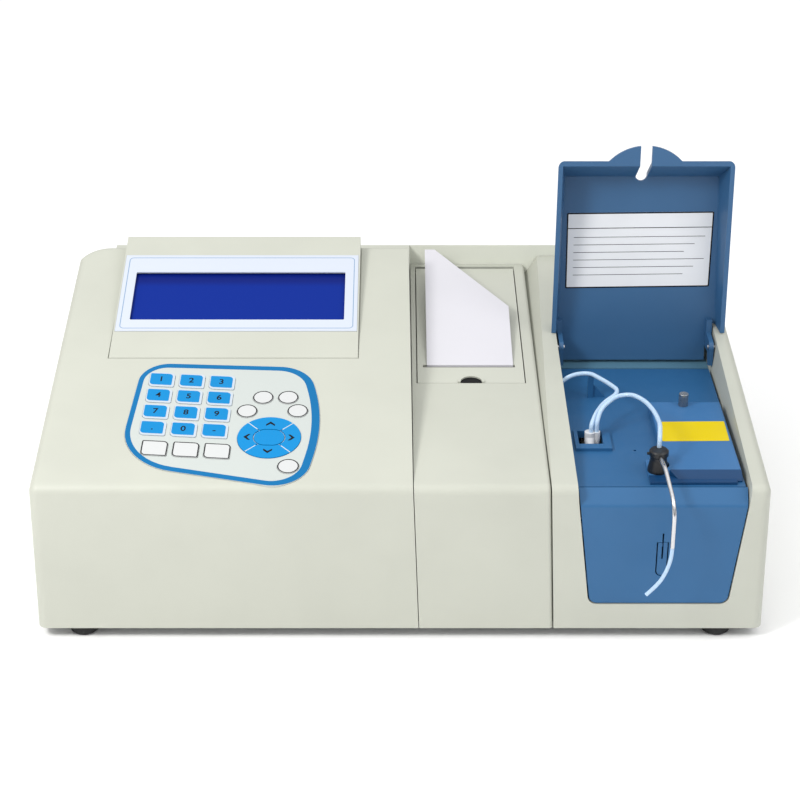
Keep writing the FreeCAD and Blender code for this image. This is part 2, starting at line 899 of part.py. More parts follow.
def feet():
    places = []
    for side in (-1, 1):
        for y in (foot_inset_y, console_depth - foot_inset_y * 2):
            places.append((side * (case_width / 2 - foot_inset_x), y))
    height = foot_height + pan_lift
    profile = [(0, 0), (foot_radius - foot_edge, 0), (foot_radius, foot_edge), (foot_radius, height),
               (0, height)]
    return Part.makeCompound([revolved(profile, x, y) for x, y in places])


# Display

def display_top(y):
    front_height = slope_height(console_slope, display_front)
    return front_height + (y - display_front) * math.tan(math.radians(display_slope))


def on_display(shape):
    # From the display's own plane, measured up its slope from the front edge, into place.
    placed = shape.copy()
    placed.rotate(point(0, 0, 0), point(1, 0, 0), display_slope)
    placed.translate(point(0, display_front, slope_height(console_slope, display_front)))
    return placed


def display_plate(x0, x1, v0, v1, n0, n1, radius=0):
    outline = [(x0, v0), (x1, v0), (x1, v1), (x0, v1)]
    return on_display(plan_prism(outline, n0, n1, [radius] * 4))


def screen_box(grow, depth_top, depth_foot):
    x0 = display_left + window_margin_side - grow
    x1 = display_right - window_margin_side + grow
    v0 = fascia_front + window_front - grow
    v1 = fascia_front + window_front + window_length + grow
    return display_plate(x0, x1, v0, v1, -depth_foot, -depth_top, window_radius)


def display_seat():
    # The shallow seat in the cover, which leaves a groove round the housing.
    y0, y1 = display_front - display_groove, display_back + display_groove
    outline = [(y0, slope_height(console_slope, y0) - display_seat_depth),
               (y1, slope_height(console_slope, y1) - display_seat_depth), (y1, display_top(y1) + overrun),
               (y0, slope_height(console_slope, y0) + overrun)]
    return side_prism(outline, display_left - display_groove, display_right + display_groove)


def display_housing():
    front_low = slope_height(console_slope, display_front) - display_seat_depth
    back_low = slope_height(console_slope, display_back) - display_seat_depth
    outline = [(display_front, front_low), (display_back, back_low),
               (display_back, display_top(display_back)), (display_front, front_low + display_seat_depth)]
    body = side_prism(outline, display_left, display_right)

    def edge(p):
        return near(p.z, display_top(p.y)) and near(p.y, display_back)

    body = body.makeFillet(display_edge_radius, edges_where(body, edge))
    recess = display_plate(display_left + fascia_margin, display_right - fascia_margin, fascia_front,
                           fascia_front + fascia_length, -(fascia_thickness - fascia_proud), overrun)
    body = body.cut(recess)
    pocket = screen_box(screen_border + fit, 0, screen_depth + screen_thickness)
    return body.cut(pocket).cut(display_opening().common(screen_box(0, 0, band_top)))


def display_opening():
    # The cable's way through the console cover, under the display housing.
    front = display_front + (display_back - display_front) * cable_front_share
    return box(display_left + cable_inset_side, display_right - cable_inset_side, front,
               display_back - cable_inset_back, front_top, band_top * 2)


def display_fascia():
    plate = display_plate(display_left + fascia_margin + fit / 2, display_right - fascia_margin - fit / 2,
                          fascia_front + fit / 2, fascia_front + fascia_length - fit / 2,
                          -(fascia_thickness - fascia_proud), fascia_proud)
    return plate.cut(screen_box(0, -overrun, overrun))


def display_module():
    return screen_box(screen_border, screen_depth, screen_depth + screen_thickness)


# Keypad

def on_keypad(shape):
    # From the keypad's own plane, centred on the keypad, into place on the console's slope.
    placed = shape.copy()
    placed.rotate(point(0, 0, 0), point(0, 0, 1), keypad_turn)
    placed.translate(point(keypad_x, keypad_y, 0))
    placed.rotate(point(0, 0, 0), point(1, 0, 0), console_slope)
    placed.translate(point(0, 0, front_top))
    return placed


def keypad_outline(inset):
    # Large round corners, fuller towards the arrow keys, and a side there that bows out.
    corners = [(x * keypad_width, y * keypad_length) for x, y in keypad_corner_shares]
    return moved_in(corners, inset), [share * keypad_width - inset for share in keypad_radius_shares]


def keypad_plate(inset, n0, n1):
    corners, radii = keypad_outline(inset)
    return plan_prism(corners, n0, n1, radii)


def keypad_opening():
    recess = keypad_plate(-fit / 2, keypad_proud - keypad_flange, overrun)
    through = keypad_plate(keypad_body_inset - fit / 2, -case_wall * 3, overrun)
    return on_keypad(recess.fuse(through))


def key_blocks(grow, n0, n1):
    # Every key's block by name, grown all round for its pocket.
    blocks = {}

    def cushion(x, y):
        # Two opposite corners are round and two are sharp, and each row falls a little to the right.
        half_x, half_y = key_width / 2 + grow, key_length / 2 + grow
        corners = []
        for dx, dy in ((-half_x, -half_y), (half_x, -half_y), (half_x, half_y), (-half_x, half_y)):
            corners.append((x + dx, y + dy - dx * row_fall_share))
        sharp, full = key_sharp_radius + grow, key_round_radius + grow
        return plan_prism(corners, n0, n1, [full, sharp, full, sharp])

    def disc(x, y, radius):
        return cylinder(radius + grow, point(x, y, n0), point(x, y, n1))

    for column in range(key_columns):
        along = column * key_pitch_x
        fall = along * row_fall_share
        for row in range(key_rows):
            name = f"key_blue_{row * key_columns + column + 1}"
            blocks[name] = cushion(key_first_x + along, key_first_y - row * key_pitch_y - fall)
        blocks[f"key_plain_{column + 1}"] = cushion(plain_key_x + along, plain_key_y - fall)
    for i, (across, up) in enumerate(round_key_shares):
        blocks[f"key_round_{i + 1}"] = disc(ring_x + across * ring_radius, ring_y + up * ring_radius,
                                            round_key_radius)
    across, up = reset_key_shares
    blocks["key_round_5"] = disc(ring_x + across * ring_radius, ring_y + up * ring_radius, reset_key_radius)
    for i, name in enumerate(("right", "up", "left", "down")):
        blocks[f"key_{name}"] = quadrant(i, grow, n0, n1)
    blocks["key_centre"] = oval(grow, n0, n1)
    return blocks


def oval(grow, n0, n1):
    half, high = enter_half_width + grow, enter_radius + grow
    corners = [(ring_x - half, ring_y - high), (ring_x + half, ring_y - high),
               (ring_x + half, ring_y + high), (ring_x - half, ring_y + high)]
    return plan_prism(corners, n0, n1, [high - running_fit] * 4)


def quadrant(turn, grow, n0, n1):
    disc = cylinder(ring_radius + grow, point(ring_x, ring_y, n0), point(ring_x, ring_y, n1))
    reach = ring_radius * 2
    gap = (ring_gap / 2 - grow) * math.sqrt(2)
    corners = [(ring_x + gap, ring_y), (ring_x + gap + reach, ring_y - reach),
               (ring_x + gap + reach, ring_y + reach)]
    wedge = plan_prism(corners, n0, n1)
    wedge.rotate(point(ring_x, ring_y, 0), point(0, 0, 1), 90 * turn)
    return disc.common(wedge).cut(oval(ring_gap - grow, n0, n1))


def keypad_overlay():
    plate = keypad_plate(0, keypad_proud - keypad_flange, keypad_proud)
    body = keypad_plate(keypad_body_inset, keypad_proud - keypad_flange - keypad_body, keypad_proud)
    overlay = plate.fuse(body)
    floor = key_bottom() - key_travel - key_floor_gap
    for block in key_blocks(key_gap, floor, overrun).values():
        overlay = overlay.cut(block)
    return on_keypad(overlay)


def key_bottom():
    return keypad_proud + key_rise - key_thickness


def keys():
    blocks = key_blocks(0, key_bottom(), keypad_proud + key_rise)
    return {name: on_keypad(block) for name, block in blocks.items()}


# Printer

def printer_hinge():
    y = printer_back - printer_hinge_back
    return point(0, y, slope_height(middle_slope, y) - printer_hinge_drop)


def printer_cover():
    depth = printer_sink + printer_thickness
    plate = slope_wedge(middle_slope, printer_sink, depth)
    plate = plate.common(box(printer_left, printer_right, printer_front, printer_back, 0, band_top * 2))
    notch_centre = point((printer_left + printer_right) / 2, printer_front - notch_radius + notch_depth, 0)
    plate = plate.cut(cylinder(notch_radius, notch_centre, notch_centre + point(0, 0, band_top * 2)))
    plate = plate.cut(box(printer_left + printer_slot_inset_left, printer_right - printer_slot_inset_right,
                          printer_slot_front, printer_slot_front + printer_slot_width, 0, band_top * 2))
    hinge = printer_hinge()
    for x0 in (printer_left, printer_right - printer_lug_width):
        x1 = x0 + printer_lug_width
        lug = cylinder(printer_lug_radius, point(x0, hinge.y, hinge.z), point(x1, hinge.y, hinge.z))
        web = box(x0, x1, hinge.y - printer_lug_radius, hinge.y + printer_pin_radius, hinge.z,
                  hinge.z + printer_hinge_drop)
        web = web.common(slope_wedge(middle_slope, printer_sink + printer_thickness / 2, overrun * 2))
        plate = plate.fuse(lug).fuse(web)
    for x0, x1 in ((printer_left - printer_pin_length, printer_left + printer_pin_length),
                   (printer_right - printer_pin_length, printer_right + printer_pin_length)):
        pin = cylinder(printer_pin_radius, point(x0, hinge.y, hinge.z), point(x1, hinge.y, hinge.z))
        plate = plate.fuse(pin)
    return plate.removeSplitter()


def paper_start():
    y = printer_slot_front + printer_slot_width / 2
    return point(paper_left, y, slope_height(middle_slope, y) + fit)


def paper_strip():
    start = paper_start()
    length = (printer_back - start.y) / math.cos(math.radians(paper_rise)) - paper_end_gap
    outline = [(0, 0), (paper_width, 0), (paper_width, paper_short_length), (paper_point_width, length),
               (0, length)]
    sheet = plan_prism(outline, 0, paper_thickness)
    sheet.rotate(point(0, 0, 0), point(1, 0, 0), paper_rise)
    stub = box(0, paper_width, 0, paper_thickness, -paper_stub, paper_thickness)
    strip = sheet.fuse(stub)
    strip.translate(start)
    return strip


def platen_roller():
    left, right = printer_left + frame_wall, printer_right - frame_wall
    roller = cylinder(platen_radius, point(left + frame_wall + fit, platen_y, platen_z),
                      point(right - frame_wall - fit, platen_y, platen_z))
    axle = cylinder(platen_axle_radius, point(left - fit, platen_y, platen_z),
                    point(right + fit, platen_y, platen_z))
    return roller.fuse(axle)


def printer_frame():
    left, right = printer_left + frame_wall, printer_right - frame_wall
    floor_top = frame_floor_height + frame_floor
    ear_top = frame_ear_height - platen_radius
    outline = [(frame_front, frame_floor_height), (frame_back, frame_floor_height),
               (frame_back, roll_z + platen_radius), (platen_y + platen_radius * 2, ear_top),
               (frame_front, ear_top)]
    frame = side_prism(outline, left, left + frame_wall)
    frame = frame.fuse(side_prism(outline, right - frame_wall, right))
    frame = frame.fuse(box(left, right, frame_front, frame_back, frame_floor_height, floor_top))
    for x in (left + frame_wall * 2, right - frame_wall * 2):
        for y in (frame_front + frame_wall * 2, frame_back - frame_wall * 2):
            frame = frame.fuse(cylinder(frame_leg_radius, point(x, y, pan_top()), point(x, y, floor_top)))
    spindle = roll_core_radius - running_fit
    reach = frame_wall + spindle_length
    for x0, x1 in ((left, left + reach), (right - reach, right)):
        frame = frame.fuse(cylinder(spindle, point(x0, roll_y, roll_z), point(x1, roll_y, roll_z)))
    bore = cylinder(platen_axle_radius + running_fit, point(left - overrun, platen_y, platen_z),
                    point(right + overrun, platen_y, platen_z))
    return frame.cut(bore).removeSplitter()


def paper_roll():
    middle = (printer_left + printer_right) / 2
    start = point(middle - paper_width / 2, roll_y, roll_z)
    end = point(middle + paper_width / 2, roll_y, roll_z)
    return cylinder(roll_radius, start, end).cut(cylinder(roll_core_radius, start, end))


# Sample bay

def deck():
    # The working plate, a gutter behind it, and a lower strip that closes the well at the back.
    under = deck_height - deck_thickness
    strip = deck_height - rear_strip_drop
    gutter = deck_height - deck_step
    strip_front = deck_back + rear_strip_gap
    back = bay_back - deck_gap
    section = [(deck_front, under), (deck_back - deck_thickness, under),
               (deck_back - deck_thickness, gutter - deck_thickness), (back, gutter - deck_thickness),
               (back, strip), (strip_front, strip), (strip_front, gutter), (deck_back, gutter),
               (deck_back, deck_height), (deck_front, deck_height)]
    plate = side_prism(section, -case_width / 2, case_width / 2)
    plate = plate.common(bay_prism(-deck_gap, 0, bay_back))
    side = box(bay_knee_half - deck_side_gap, case_width / 2, deck_front - overrun, deck_back, gutter,
               band_top)
    rim = box(port_rim_left, port_rim_right, port_rim_front, port_rim_back, under,
              deck_height + port_rim_height)
    plate = plate.cut(side).fuse(rim).cut(box(port_left, port_right, port_front, port_back, 0, band_top))
    half = post_width / 2
    post = box(post_x - half, post_x + half, post_y - half, post_y + half, under, deck_height + post_height)
    plate = plate.fuse(post).fuse(post_gusset_rib())
    plate = plate.cut(cylinder(hole_radius, point(hole_x, hole_y, 0), point(hole_x, hole_y, band_top)))
    plate = plate.cut(screw_hole())
    for x in (deck_leg_inset - bay_knee_half, bay_knee_half - deck_leg_inset / 2):
        for y in (deck_front + deck_leg_inset, deck_back - deck_leg_inset):
            plate = plate.fuse(cylinder(deck_leg_radius, point(x, y, pan_top()), point(x, y, under + fit)))
    return plate.removeSplitter()


def post_gusset_rib():
    # A thin rib that steadies the tube post from its side.
    root = deck_height - deck_thickness / 2
    top = deck_height + post_height * gusset_share
    end = post_x + post_gusset
    outline = [(post_x, root), (end, root), (end, deck_height), (post_x + post_width / 2, top),
               (post_x, top)]
    return front_prism(outline, post_y - post_width / 4, post_y + post_width / 4)


def screw_hole():
    return cylinder(screw_shank_radius + running_fit, point(screw_x, screw_y, 0),
                    point(screw_x, screw_y, band_top))


def lamp_cover():
    top = deck_height + lamp_height
    section = [(lamp_front, deck_height), (lamp_back, deck_height), (lamp_back, top),
               (lamp_front + lamp_bevel, top), (lamp_front, deck_height + lamp_foot)]
    block = side_prism(section, lamp_left, lamp_right)
    plan = [(lamp_left + lamp_corner, lamp_front), (lamp_right, lamp_front), (lamp_right, lamp_back),
            (lamp_left, lamp_back), (lamp_left, lamp_front + lamp_corner)]
    block = block.common(plan_prism(plan, 0, band_top))
    upper = edges_where(block, lambda p: near(p.z, top))
    fold = edges_where(block, lambda p: near(p.z, top) and near(p.y, lamp_front + lamp_bevel))
    block = block.makeFillet(lamp_edge_radius, less(upper, fold))
    relief = cylinder(holder_base_radius + fit, point(holder_x, holder_y, 0),
                      point(holder_x, holder_y, band_top))
    block = block.cut(relief)
    plinth = box(plinth_left, plinth_right, plinth_front, plinth_back, deck_height,
                 deck_height + plinth_height)
    return block.fuse(plinth).cut(screw_hole()).removeSplitter()


def thumb_screw():
    top = deck_height + lamp_height
    head = cylinder(screw_head_radius, point(screw_x, screw_y, top + running_fit),
                    point(screw_x, screw_y, top + screw_head_height))
    rim = edges_where(head, lambda p: near(p.z, top + screw_head_height))
    head = head.makeFillet(screw_knurl_depth, rim)
    for i in range(screw_knurls):
        angle = 2 * math.pi * i / screw_knurls
        x = screw_x + screw_head_radius * math.cos(angle)
        y = screw_y + screw_head_radius * math.sin(angle)
        head = head.cut(cylinder(screw_knurl_depth, point(x, y, top),
                                 point(x, y, top + screw_head_height * screw_knurl_share)))
    shank = cylinder(screw_shank_radius, point(screw_x, screw_y, deck_height - deck_thickness * 2),
                     point(screw_x, screw_y, top + screw_head_height / 2))
    return head.fuse(shank)


def sipper_holder():
    base = deck_height + plinth_height
    top = base + holder_height
    cap = top - holder_cap_height
    profile = [(0, base), (holder_base_radius, base), (holder_base_radius, base + holder_foot_height),
               (holder_waist_radius, base + holder_waist_height),
               (holder_waist_radius, cap - holder_edge), (holder_cap_radius, cap),
               (holder_cap_radius, top - holder_edge), (holder_cap_radius - holder_edge, top), (0, top)]
    holder = revolved(profile, holder_x, holder_y)
    side = point(holder_x, holder_y, cap + holder_edge)
    grub = cylinder(holder_screw_radius, side, side - point(holder_cap_radius + holder_screw_length, 0, 0))
    holder = holder.fuse(grub)
    start, second = point(*probe_route[0]), point(*probe_route[1])
    ahead = (second - start).normalize()
    bore = cylinder(probe_radius + probe_gap, start - ahead * probe_gap,
                    start + ahead * holder_base_radius * 2)
    return holder.cut(bore)


def sipper_probe():
    return bent_tube(probe_route, probe_radius, probe_bore_radius, probe_bend_radius, "probe")


def tube_connector():
    # A white tee in the deck's port: a main body, a side outlet, and an elbow that turns down to the front.
    top = point(connector_x, connector_y, connector_top)
    foot = point(connector_x, connector_y, connector_foot)
    body = cylinder(connector_radius, foot, top)
    side = cylinder(connector_side_radius, point(connector_side_x, connector_side_y, connector_foot),
                    point(connector_side_x, connector_side_y, connector_side_top))
    bridge = cylinder(connector_bridge_radius, point(connector_x, connector_y, connector_bridge_height),
                      point(connector_side_x, connector_side_y, connector_bridge_height))
    knee = top - point(0, 0, connector_radius)
    elbow = cylinder(connector_elbow_radius, knee, knee - point(0, connector_elbow_reach, connector_elbow))
    stem = cylinder(connector_side_radius, foot - point(0, 0, connector_stem), knee)
    return body.fuse(side).fuse(bridge).fuse(elbow).fuse(stem)


def soft_tubes():
    return {"drain_tube": bent_tube(drain_route, tube_radius, name="drain tube"),
            "sipper_tube": bent_tube(sipper_route, tube_radius, name="sipper tube"),
            "tip_tube": bent_tube(tip_route, tip_tube_radius, name="tip tube")}


# Lid

def lid_rim(forward):
    # The closed rim's height above the hinge, over the sloping cheeks.
    return slope_height(bay_slope, hinge_y - forward) + lid_rim_gap - hinge_z


def without_side(shape, origin, normal):
    # The shape less everything on the side of a plane that its normal points to.
    reach = case_width * 2
    block = Part.makeBox(reach, reach, reach, point(-reach / 2, -reach / 2, 0))
    block.Placement = FreeCAD.Placement(origin, FreeCAD.Rotation(point(0, 0, 1), normal))
    return shape.cut(block)


def closed_point(x, forward, height):
    # A point of the closed lid, from the hinge forward and up.
    return point(x, hinge_y - forward, hinge_z + height)


def lid_tray(inset):
    # The tray's outer form, or with an inset its hollow, open at the rim and the back.
    front_low = closed_point(lid_shift, lid_length, lid_rim(lid_length))
    front_high = closed_point(lid_shift, lid_panel_length, lid_top)
    back_low = closed_point(lid_shift, lid_rim_back, lid_rim(lid_rim_back))
    back_high = closed_point(lid_shift, lid_panel_back, lid_top)
    across = point(1, 0, 0)
    shift = overrun if inset else 0
    planes = [(front_high, point(0, 0, 1), inset),
              (front_low, across.cross(front_high - front_low), inset),
              (back_low, across.cross(back_low - front_low) * -1, -shift),
              (back_low, across.cross(back_high - back_low) * -1, -shift)]
    for side in (-1, 1):
        low_back = back_low + across * side * lid_half_width
        low_front = front_low + across * side * (lid_half_width - lid_taper)
        high_back = back_high + across * side * (lid_half_width - lid_side_draft)
        normal = (low_front - low_back).cross(high_back - low_back)
        planes.append((low_back, normal * (side if normal.x > 0 else -side), inset))
    solid = box(-lid_half_width * 2, lid_half_width * 2, hinge_y - lid_length * 2, hinge_y + lid_length,
                0, band_top * 2)
    for origin, normal, moved in planes:
        normal.normalize()
        solid = without_side(solid, origin - normal * moved, normal)
    return solid


def lid():
    tray = lid_tray(0)
    panel_z = hinge_z + lid_top

    def upper(p):
        return near(p.z, panel_z)

    def front_corner(p):
        on_side = abs(p.x - lid_shift) > lid_half_width - lid_taper - lid_side_draft * 2
        return p.y < hinge_y - lid_panel_length + lid_side_draft and on_side

    tray = tray.makeFillet(lid_corner_radius, edges_where(tray, front_corner))
    back_edge = edges_where(tray, lambda p: upper(p) and near(p.y, hinge_y - lid_panel_back))
    tray = tray.makeFillet(lid_edge_radius, less(edges_where(tray, upper), back_edge))
    shell = tray.cut(lid_tray(lid_wall))
    tail = box(-lid_tail_half, lid_tail_half, hinge_y - lid_panel_back - lid_wall, hinge_y + lid_tail,
               panel_z - lid_wall, panel_z)
    shell = shell.fuse(tail)
    for side in (-1, 1):
        shell = shell.fuse(lid_ear(side))
    shell = shell.fuse(lid_tab()).cut(lid_slot())
    bore = cylinder(pin_radius + running_fit, point(-case_width / 2, hinge_y, hinge_z),
                    point(case_width / 2, hinge_y, hinge_z))
    shell = shell.cut(bore).removeSplitter()
    return turned(shell, point(0, hinge_y, hinge_z), point(1, 0, 0), -lid_open_angle)


def lid_ear(side):
    # The bracket that hangs the lid on its pin, with a stop tail behind and a stout root under the panel.
    panel_z = hinge_z + lid_top
    inner = side * lid_tail_half
    x0, x1 = sorted((inner, inner + side * ear_thickness))
    round_end = cylinder(ear_radius, point(x0, hinge_y, hinge_z), point(x1, hinge_y, hinge_z))
    arm = [(hinge_y - ear_radius, hinge_z), (hinge_y, hinge_z - ear_radius),
           (hinge_y + ear_tail, hinge_z - ear_tail_half), (hinge_y + ear_tail, hinge_z + ear_tail_half),
           (hinge_y + ear_radius, hinge_z + ear_radius), (hinge_y + ear_radius, panel_z),
           (hinge_y - ear_root, panel_z)]
    x2, x3 = sorted((inner, inner + side * ear_root_width))
    root = box(x2, x3, hinge_y - lid_panel_back - lid_wall, hinge_y - ear_radius, panel_z - ear_root,
               panel_z)
    foot = box(min(x0, inner - side * lid_wall), max(x1, inner - side * lid_wall), hinge_y - ear_root,
               hinge_y + ear_radius, panel_z - lid_wall, panel_z)
    return round_end.fuse(side_prism(arm, x0, x1)).fuse(root).fuse(foot)


def lid_tab():
    # A half-round thumb tab in the rim's plane.
    radius = (tab_half_width ** 2 + tab_length ** 2) / (2 * tab_length)
    front = hinge_y - lid_length
    centre = point(tab_shift, front - tab_length + radius, 0)
    disc = cylinder(radius, centre, centre + point(0, 0, band_top * 2))
    strip = box(-lid_half_width, lid_half_width, front - tab_length - overrun, front + lid_wall, 0,
                band_top * 2)
    layer = slope_wedge(bay_slope, -lid_rim_gap - lid_wall, -lid_rim_gap)
    return disc.common(strip).common(layer)


def lid_slot():
    half = slot_width / 2
    end = hinge_y - lid_length + slot_run - half
    straight = box(tab_shift - half, tab_shift + half, hinge_y - lid_length - tab_length - overrun, end,
                   0, band_top * 2)
    return straight.fuse(cylinder(half, point(tab_shift, end, 0), point(tab_shift, end, band_top * 2)))


def pin_span(side):
    inner = side * (lid_tail_half - pin_head_length)
    return inner, inner + side * pin_length


def lid_pins():
    pins = []
    for side in (-1, 1):
        inner, outer = pin_span(side)
        shaft = cylinder(pin_radius, point(inner, hinge_y, hinge_z), point(outer, hinge_y, hinge_z))
        head = cylinder(pin_head_radius, point(inner, hinge_y, hinge_z),
                        point(inner + side * (pin_head_length - fit / 2), hinge_y, hinge_z))
        pins.append(shaft.fuse(head))
    return Part.makeCompound(pins)


def pin_holes():
    holes = []
    for side in (-1, 1):
        inner, outer = pin_span(side)
        holes.append(cylinder(pin_radius + running_fit, point(inner, hinge_y, hinge_z),
                              point(outer + side * running_fit, hinge_y, hinge_z)))
    return holes[0].fuse(holes[1])


# Front door

def front_door():
    y0, y1 = door_sink, door_sink + door_thickness
    knee = deck_height - door_bevel_height
    back = deck_front - deck_front_gap
    section = [(y0, bay_foot_height), (y1, bay_foot_height), (y1, knee),
               (back, deck_height - door_thickness), (back, deck_height), (y0, knee)]
    plate = side_prism(section, -case_width / 2, case_width / 2, [0, 0, 0, 0, 0, door_bevel_height / 2])
    plate = plate.common(bay_prism(-door_gap, -overrun, deck_front + overrun))
    inside = case_wall + fit / 3
    lean_out = (bay_knee_half - bay_foot_half) / (bay_knee_height - bay_foot_height)
    for side in (-1, 1):
        for z in (bay_foot_height + door_clip_inset, bay_knee_height - door_clip_inset * 2):
            edge = side * (bay_foot_half + lean_out * (z - bay_foot_height))
            inner = edge - side * door_clip_reach
            x0, x1 = sorted((inner, edge + side * door_clip_width))
            plate = plate.fuse(box(x0, x1, inside, inside + door_thickness, z, z + door_clip_height))
            x0, x1 = sorted((inner, edge - side * door_clip_root))
            plate = plate.fuse(box(x0, x1, y0 + door_thickness / 2, inside + door_thickness, z,
                                   z + door_clip_height))
    plate = plate.cut(tongue_shape(tongue_gap, -overrun, overrun * 2)).cut(tongue_slot())
    # Two ribs behind the door carry the trigger's pins.
    hinge = tongue_hinge()
    for side in (-1, 1):
        inner = tongue_x + side * (tongue_half + tongue_gap)
        x0, x1 = sorted((inner, inner + side * tongue_rib))
        rib = box(x0, x1, y1 - door_thickness / 2, hinge.y + tongue_rib, hinge.z - tongue_rib,
                  hinge.z + tongue_rib)
        plate = plate.fuse(rib)
    bore = cylinder(tongue_pin_radius + running_fit, point(tongue_x - tongue_rib * 4, hinge.y, hinge.z),
                    point(tongue_x + tongue_rib * 4, hinge.y, hinge.z))
    return plate.cut(bore).removeSplitter()


def tongue_hinge():
    return point(0, door_sink + door_thickness + tongue_pin_set, tongue_top - tongue_pin_radius * 2)


def tongue_slot():
    return box(tongue_x - tongue_slot_half, tongue_x + tongue_slot_half, -overrun, overrun * 2,
               tongue_slot_foot, tongue_slot_top)


def tongue_shape(grow, y0, y1):
    half = tongue_half + grow
    top = tongue_top + (tongue_top_gap if grow else 0)
    corners = [(tongue_x - half, tongue_foot - grow), (tongue_x + half, tongue_foot - grow),
               (tongue_x + half, top), (tongue_x - half, top)]
    round_foot = half - running_fit
    return front_prism(corners, y0, y1, [round_foot, round_foot, 0, 0])


def sipper_trigger():
    hinge = tongue_hinge()
    y0, y1 = door_sink, door_sink + door_thickness
    tongue = tongue_shape(0, y0, y1).cut(tongue_slot())
    knuckle = cylinder(knuckle_radius, point(tongue_x - tongue_half, hinge.y, hinge.z),
                       point(tongue_x + tongue_half, hinge.y, hinge.z))
    reach = tongue_half + tongue_gap + tongue_pin_length
    pins = cylinder(tongue_pin_radius, point(tongue_x - reach, hinge.y, hinge.z),
                    point(tongue_x + reach, hinge.y, hinge.z))
    web = box(tongue_x - tongue_half, tongue_x + tongue_half, y1 - door_thickness / 2, hinge.y,
              hinge.z - knuckle_radius, hinge.z + tongue_pin_radius)
    return tongue.fuse(knuckle).fuse(pins).fuse(web).removeSplitter()


# Pieces inside

def main_board():
    z = pan_top() + board_lift
    board = box(board_left, board_right, board_front, board_back, z, z + board_thickness)
    for x in (board_left + standoff_inset, board_right - standoff_inset):
        for y in (board_front + standoff_inset, board_back - standoff_inset):
            post = cylinder(standoff_radius, point(x, y, pan_top()), point(x, y, z + board_thickness))
            board = board.fuse(post)
    pitch = (board_right - board_left) / chip_columns
    for i in range(chip_columns):
        x = board_left + pitch * i + (pitch - chip_size) / 2
        for y in (board_front + chip_size, board_back - chip_size * 2):
            board = board.fuse(box(x, x + chip_size, y, y + chip_size, z + board_thickness / 2,
                                   z + board_thickness + chip_height))
    return board.removeSplitter()


def power_supply():
    outline = [(supply_left, supply_front), (supply_right, supply_front), (supply_right, supply_back),
               (supply_left, supply_back)]
    return plan_prism(outline, pan_top(), pan_top() + supply_height, [supply_radius] * 4)


def power_inlet():
    x0, x1 = inlet_x - inlet_half_width, inlet_x + inlet_half_width
    z0, z1 = inlet_z - inlet_half_height, inlet_z + inlet_half_height
    body = box(x0, x1, case_depth - inlet_depth, case_depth + inlet_flange_thickness / 2, z0, z1)
    flange = box(x0 - inlet_flange, x1 + inlet_flange, case_depth, case_depth + inlet_flange_thickness,
                 z0 - inlet_flange / 2, z1 + inlet_flange / 2)
    inlet = body.fuse(flange)
    corner = inlet_half_width / 4
    cavity = [(x0 + inlet_wall, z0 + inlet_wall), (x1 - inlet_wall, z0 + inlet_wall),
              (x1 - inlet_wall, z1 - inlet_wall), (x0 + inlet_wall, z1 - inlet_wall)]
    inlet = inlet.cut(front_prism(cavity, case_depth - inlet_depth + inlet_wall * 2, case_depth + overrun,
                                  [0, 0, corner, corner]))
    for x, z in ((inlet_x - inlet_pin_spread, inlet_z - inlet_pin_radius),
                 (inlet_x, inlet_z + inlet_pin_radius * 2),
                 (inlet_x + inlet_pin_spread, inlet_z - inlet_pin_radius)):
        start = point(x, case_depth - inlet_depth + inlet_wall, z)
        inlet = inlet.fuse(cylinder(inlet_pin_radius, start, start + point(0, inlet_pin_length, 0)))
    # The switch's housing is part of the same moulding.
    return inlet.fuse(switch_housing()).removeSplitter()


def switch_axle():
    return point(switch_x, case_depth - rocker_rise, inlet_z)


def switch_housing():
    x0, x1 = switch_x - switch_half_width, switch_x + switch_half_width
    z0, z1 = inlet_z - switch_half_height, inlet_z + switch_half_height
    body = box(x0, x1, case_depth - switch_depth, case_depth + switch_frame / 2, z0, z1)
    flange = box(x0 - switch_frame, x1 + switch_frame, case_depth, case_depth + switch_frame,
                 z0 - switch_frame, z1 + switch_frame)
    hollow = box(x0 + switch_frame / 2, x1 - switch_frame / 2, case_depth - switch_depth + switch_frame,
                 case_depth + overrun, z0 + switch_frame / 2, z1 - switch_frame / 2)
    axle = switch_axle()
    bore = cylinder(rocker_axle_radius + running_fit, point(x0 - overrun, axle.y, axle.z),
                    point(x1 + overrun, axle.y, axle.z))
    return body.fuse(flange).cut(hollow).cut(bore).removeSplitter()


def power_switch():
    # A rocker that stands tilted, pressed at its upper end.
    axle = switch_axle()
    half_x = switch_half_width - switch_frame / 2 - fit
    reach = switch_half_height - switch_frame / 2 - fit * 3
    top = case_depth + fit
    inner = axle.y - rocker_rise
    outline = [(inner, inlet_z - reach), (top, inlet_z - reach), (top - rocker_rise / 2, inlet_z),
               (top, inlet_z + reach), (inner, inlet_z + reach)]
    rocker = side_prism(outline, switch_x - half_x, switch_x + half_x)
    axle_rod = cylinder(rocker_axle_radius, point(switch_x - switch_half_width, axle.y, axle.z),
                        point(switch_x + switch_half_width, axle.y, axle.z))
    rocker = rocker.fuse(axle_rod)
    return turned(rocker, axle, point(1, 0, 0), rocker_tilt)


def photometer():
    top = pan_top() + photometer_height
    body = box(photometer_left, photometer_right, photometer_front, photometer_back, pan_top(), top)
    height = top - photometer_barrel_inset
    for y in (photometer_front + photometer_barrel_inset, photometer_back - photometer_barrel_inset):
        start = point(photometer_left - photometer_barrel_length / 2, y, height)
        barrel = cylinder(photometer_barrel_radius, start, start + point(photometer_barrel_length, 0, 0))
        body = body.fuse(barrel)
        window = cylinder(photometer_window_radius, start - point(overrun, 0, 0),
                          start + point(overrun, 0, 0))
        body = body.cut(window)
    return body.removeSplitter()


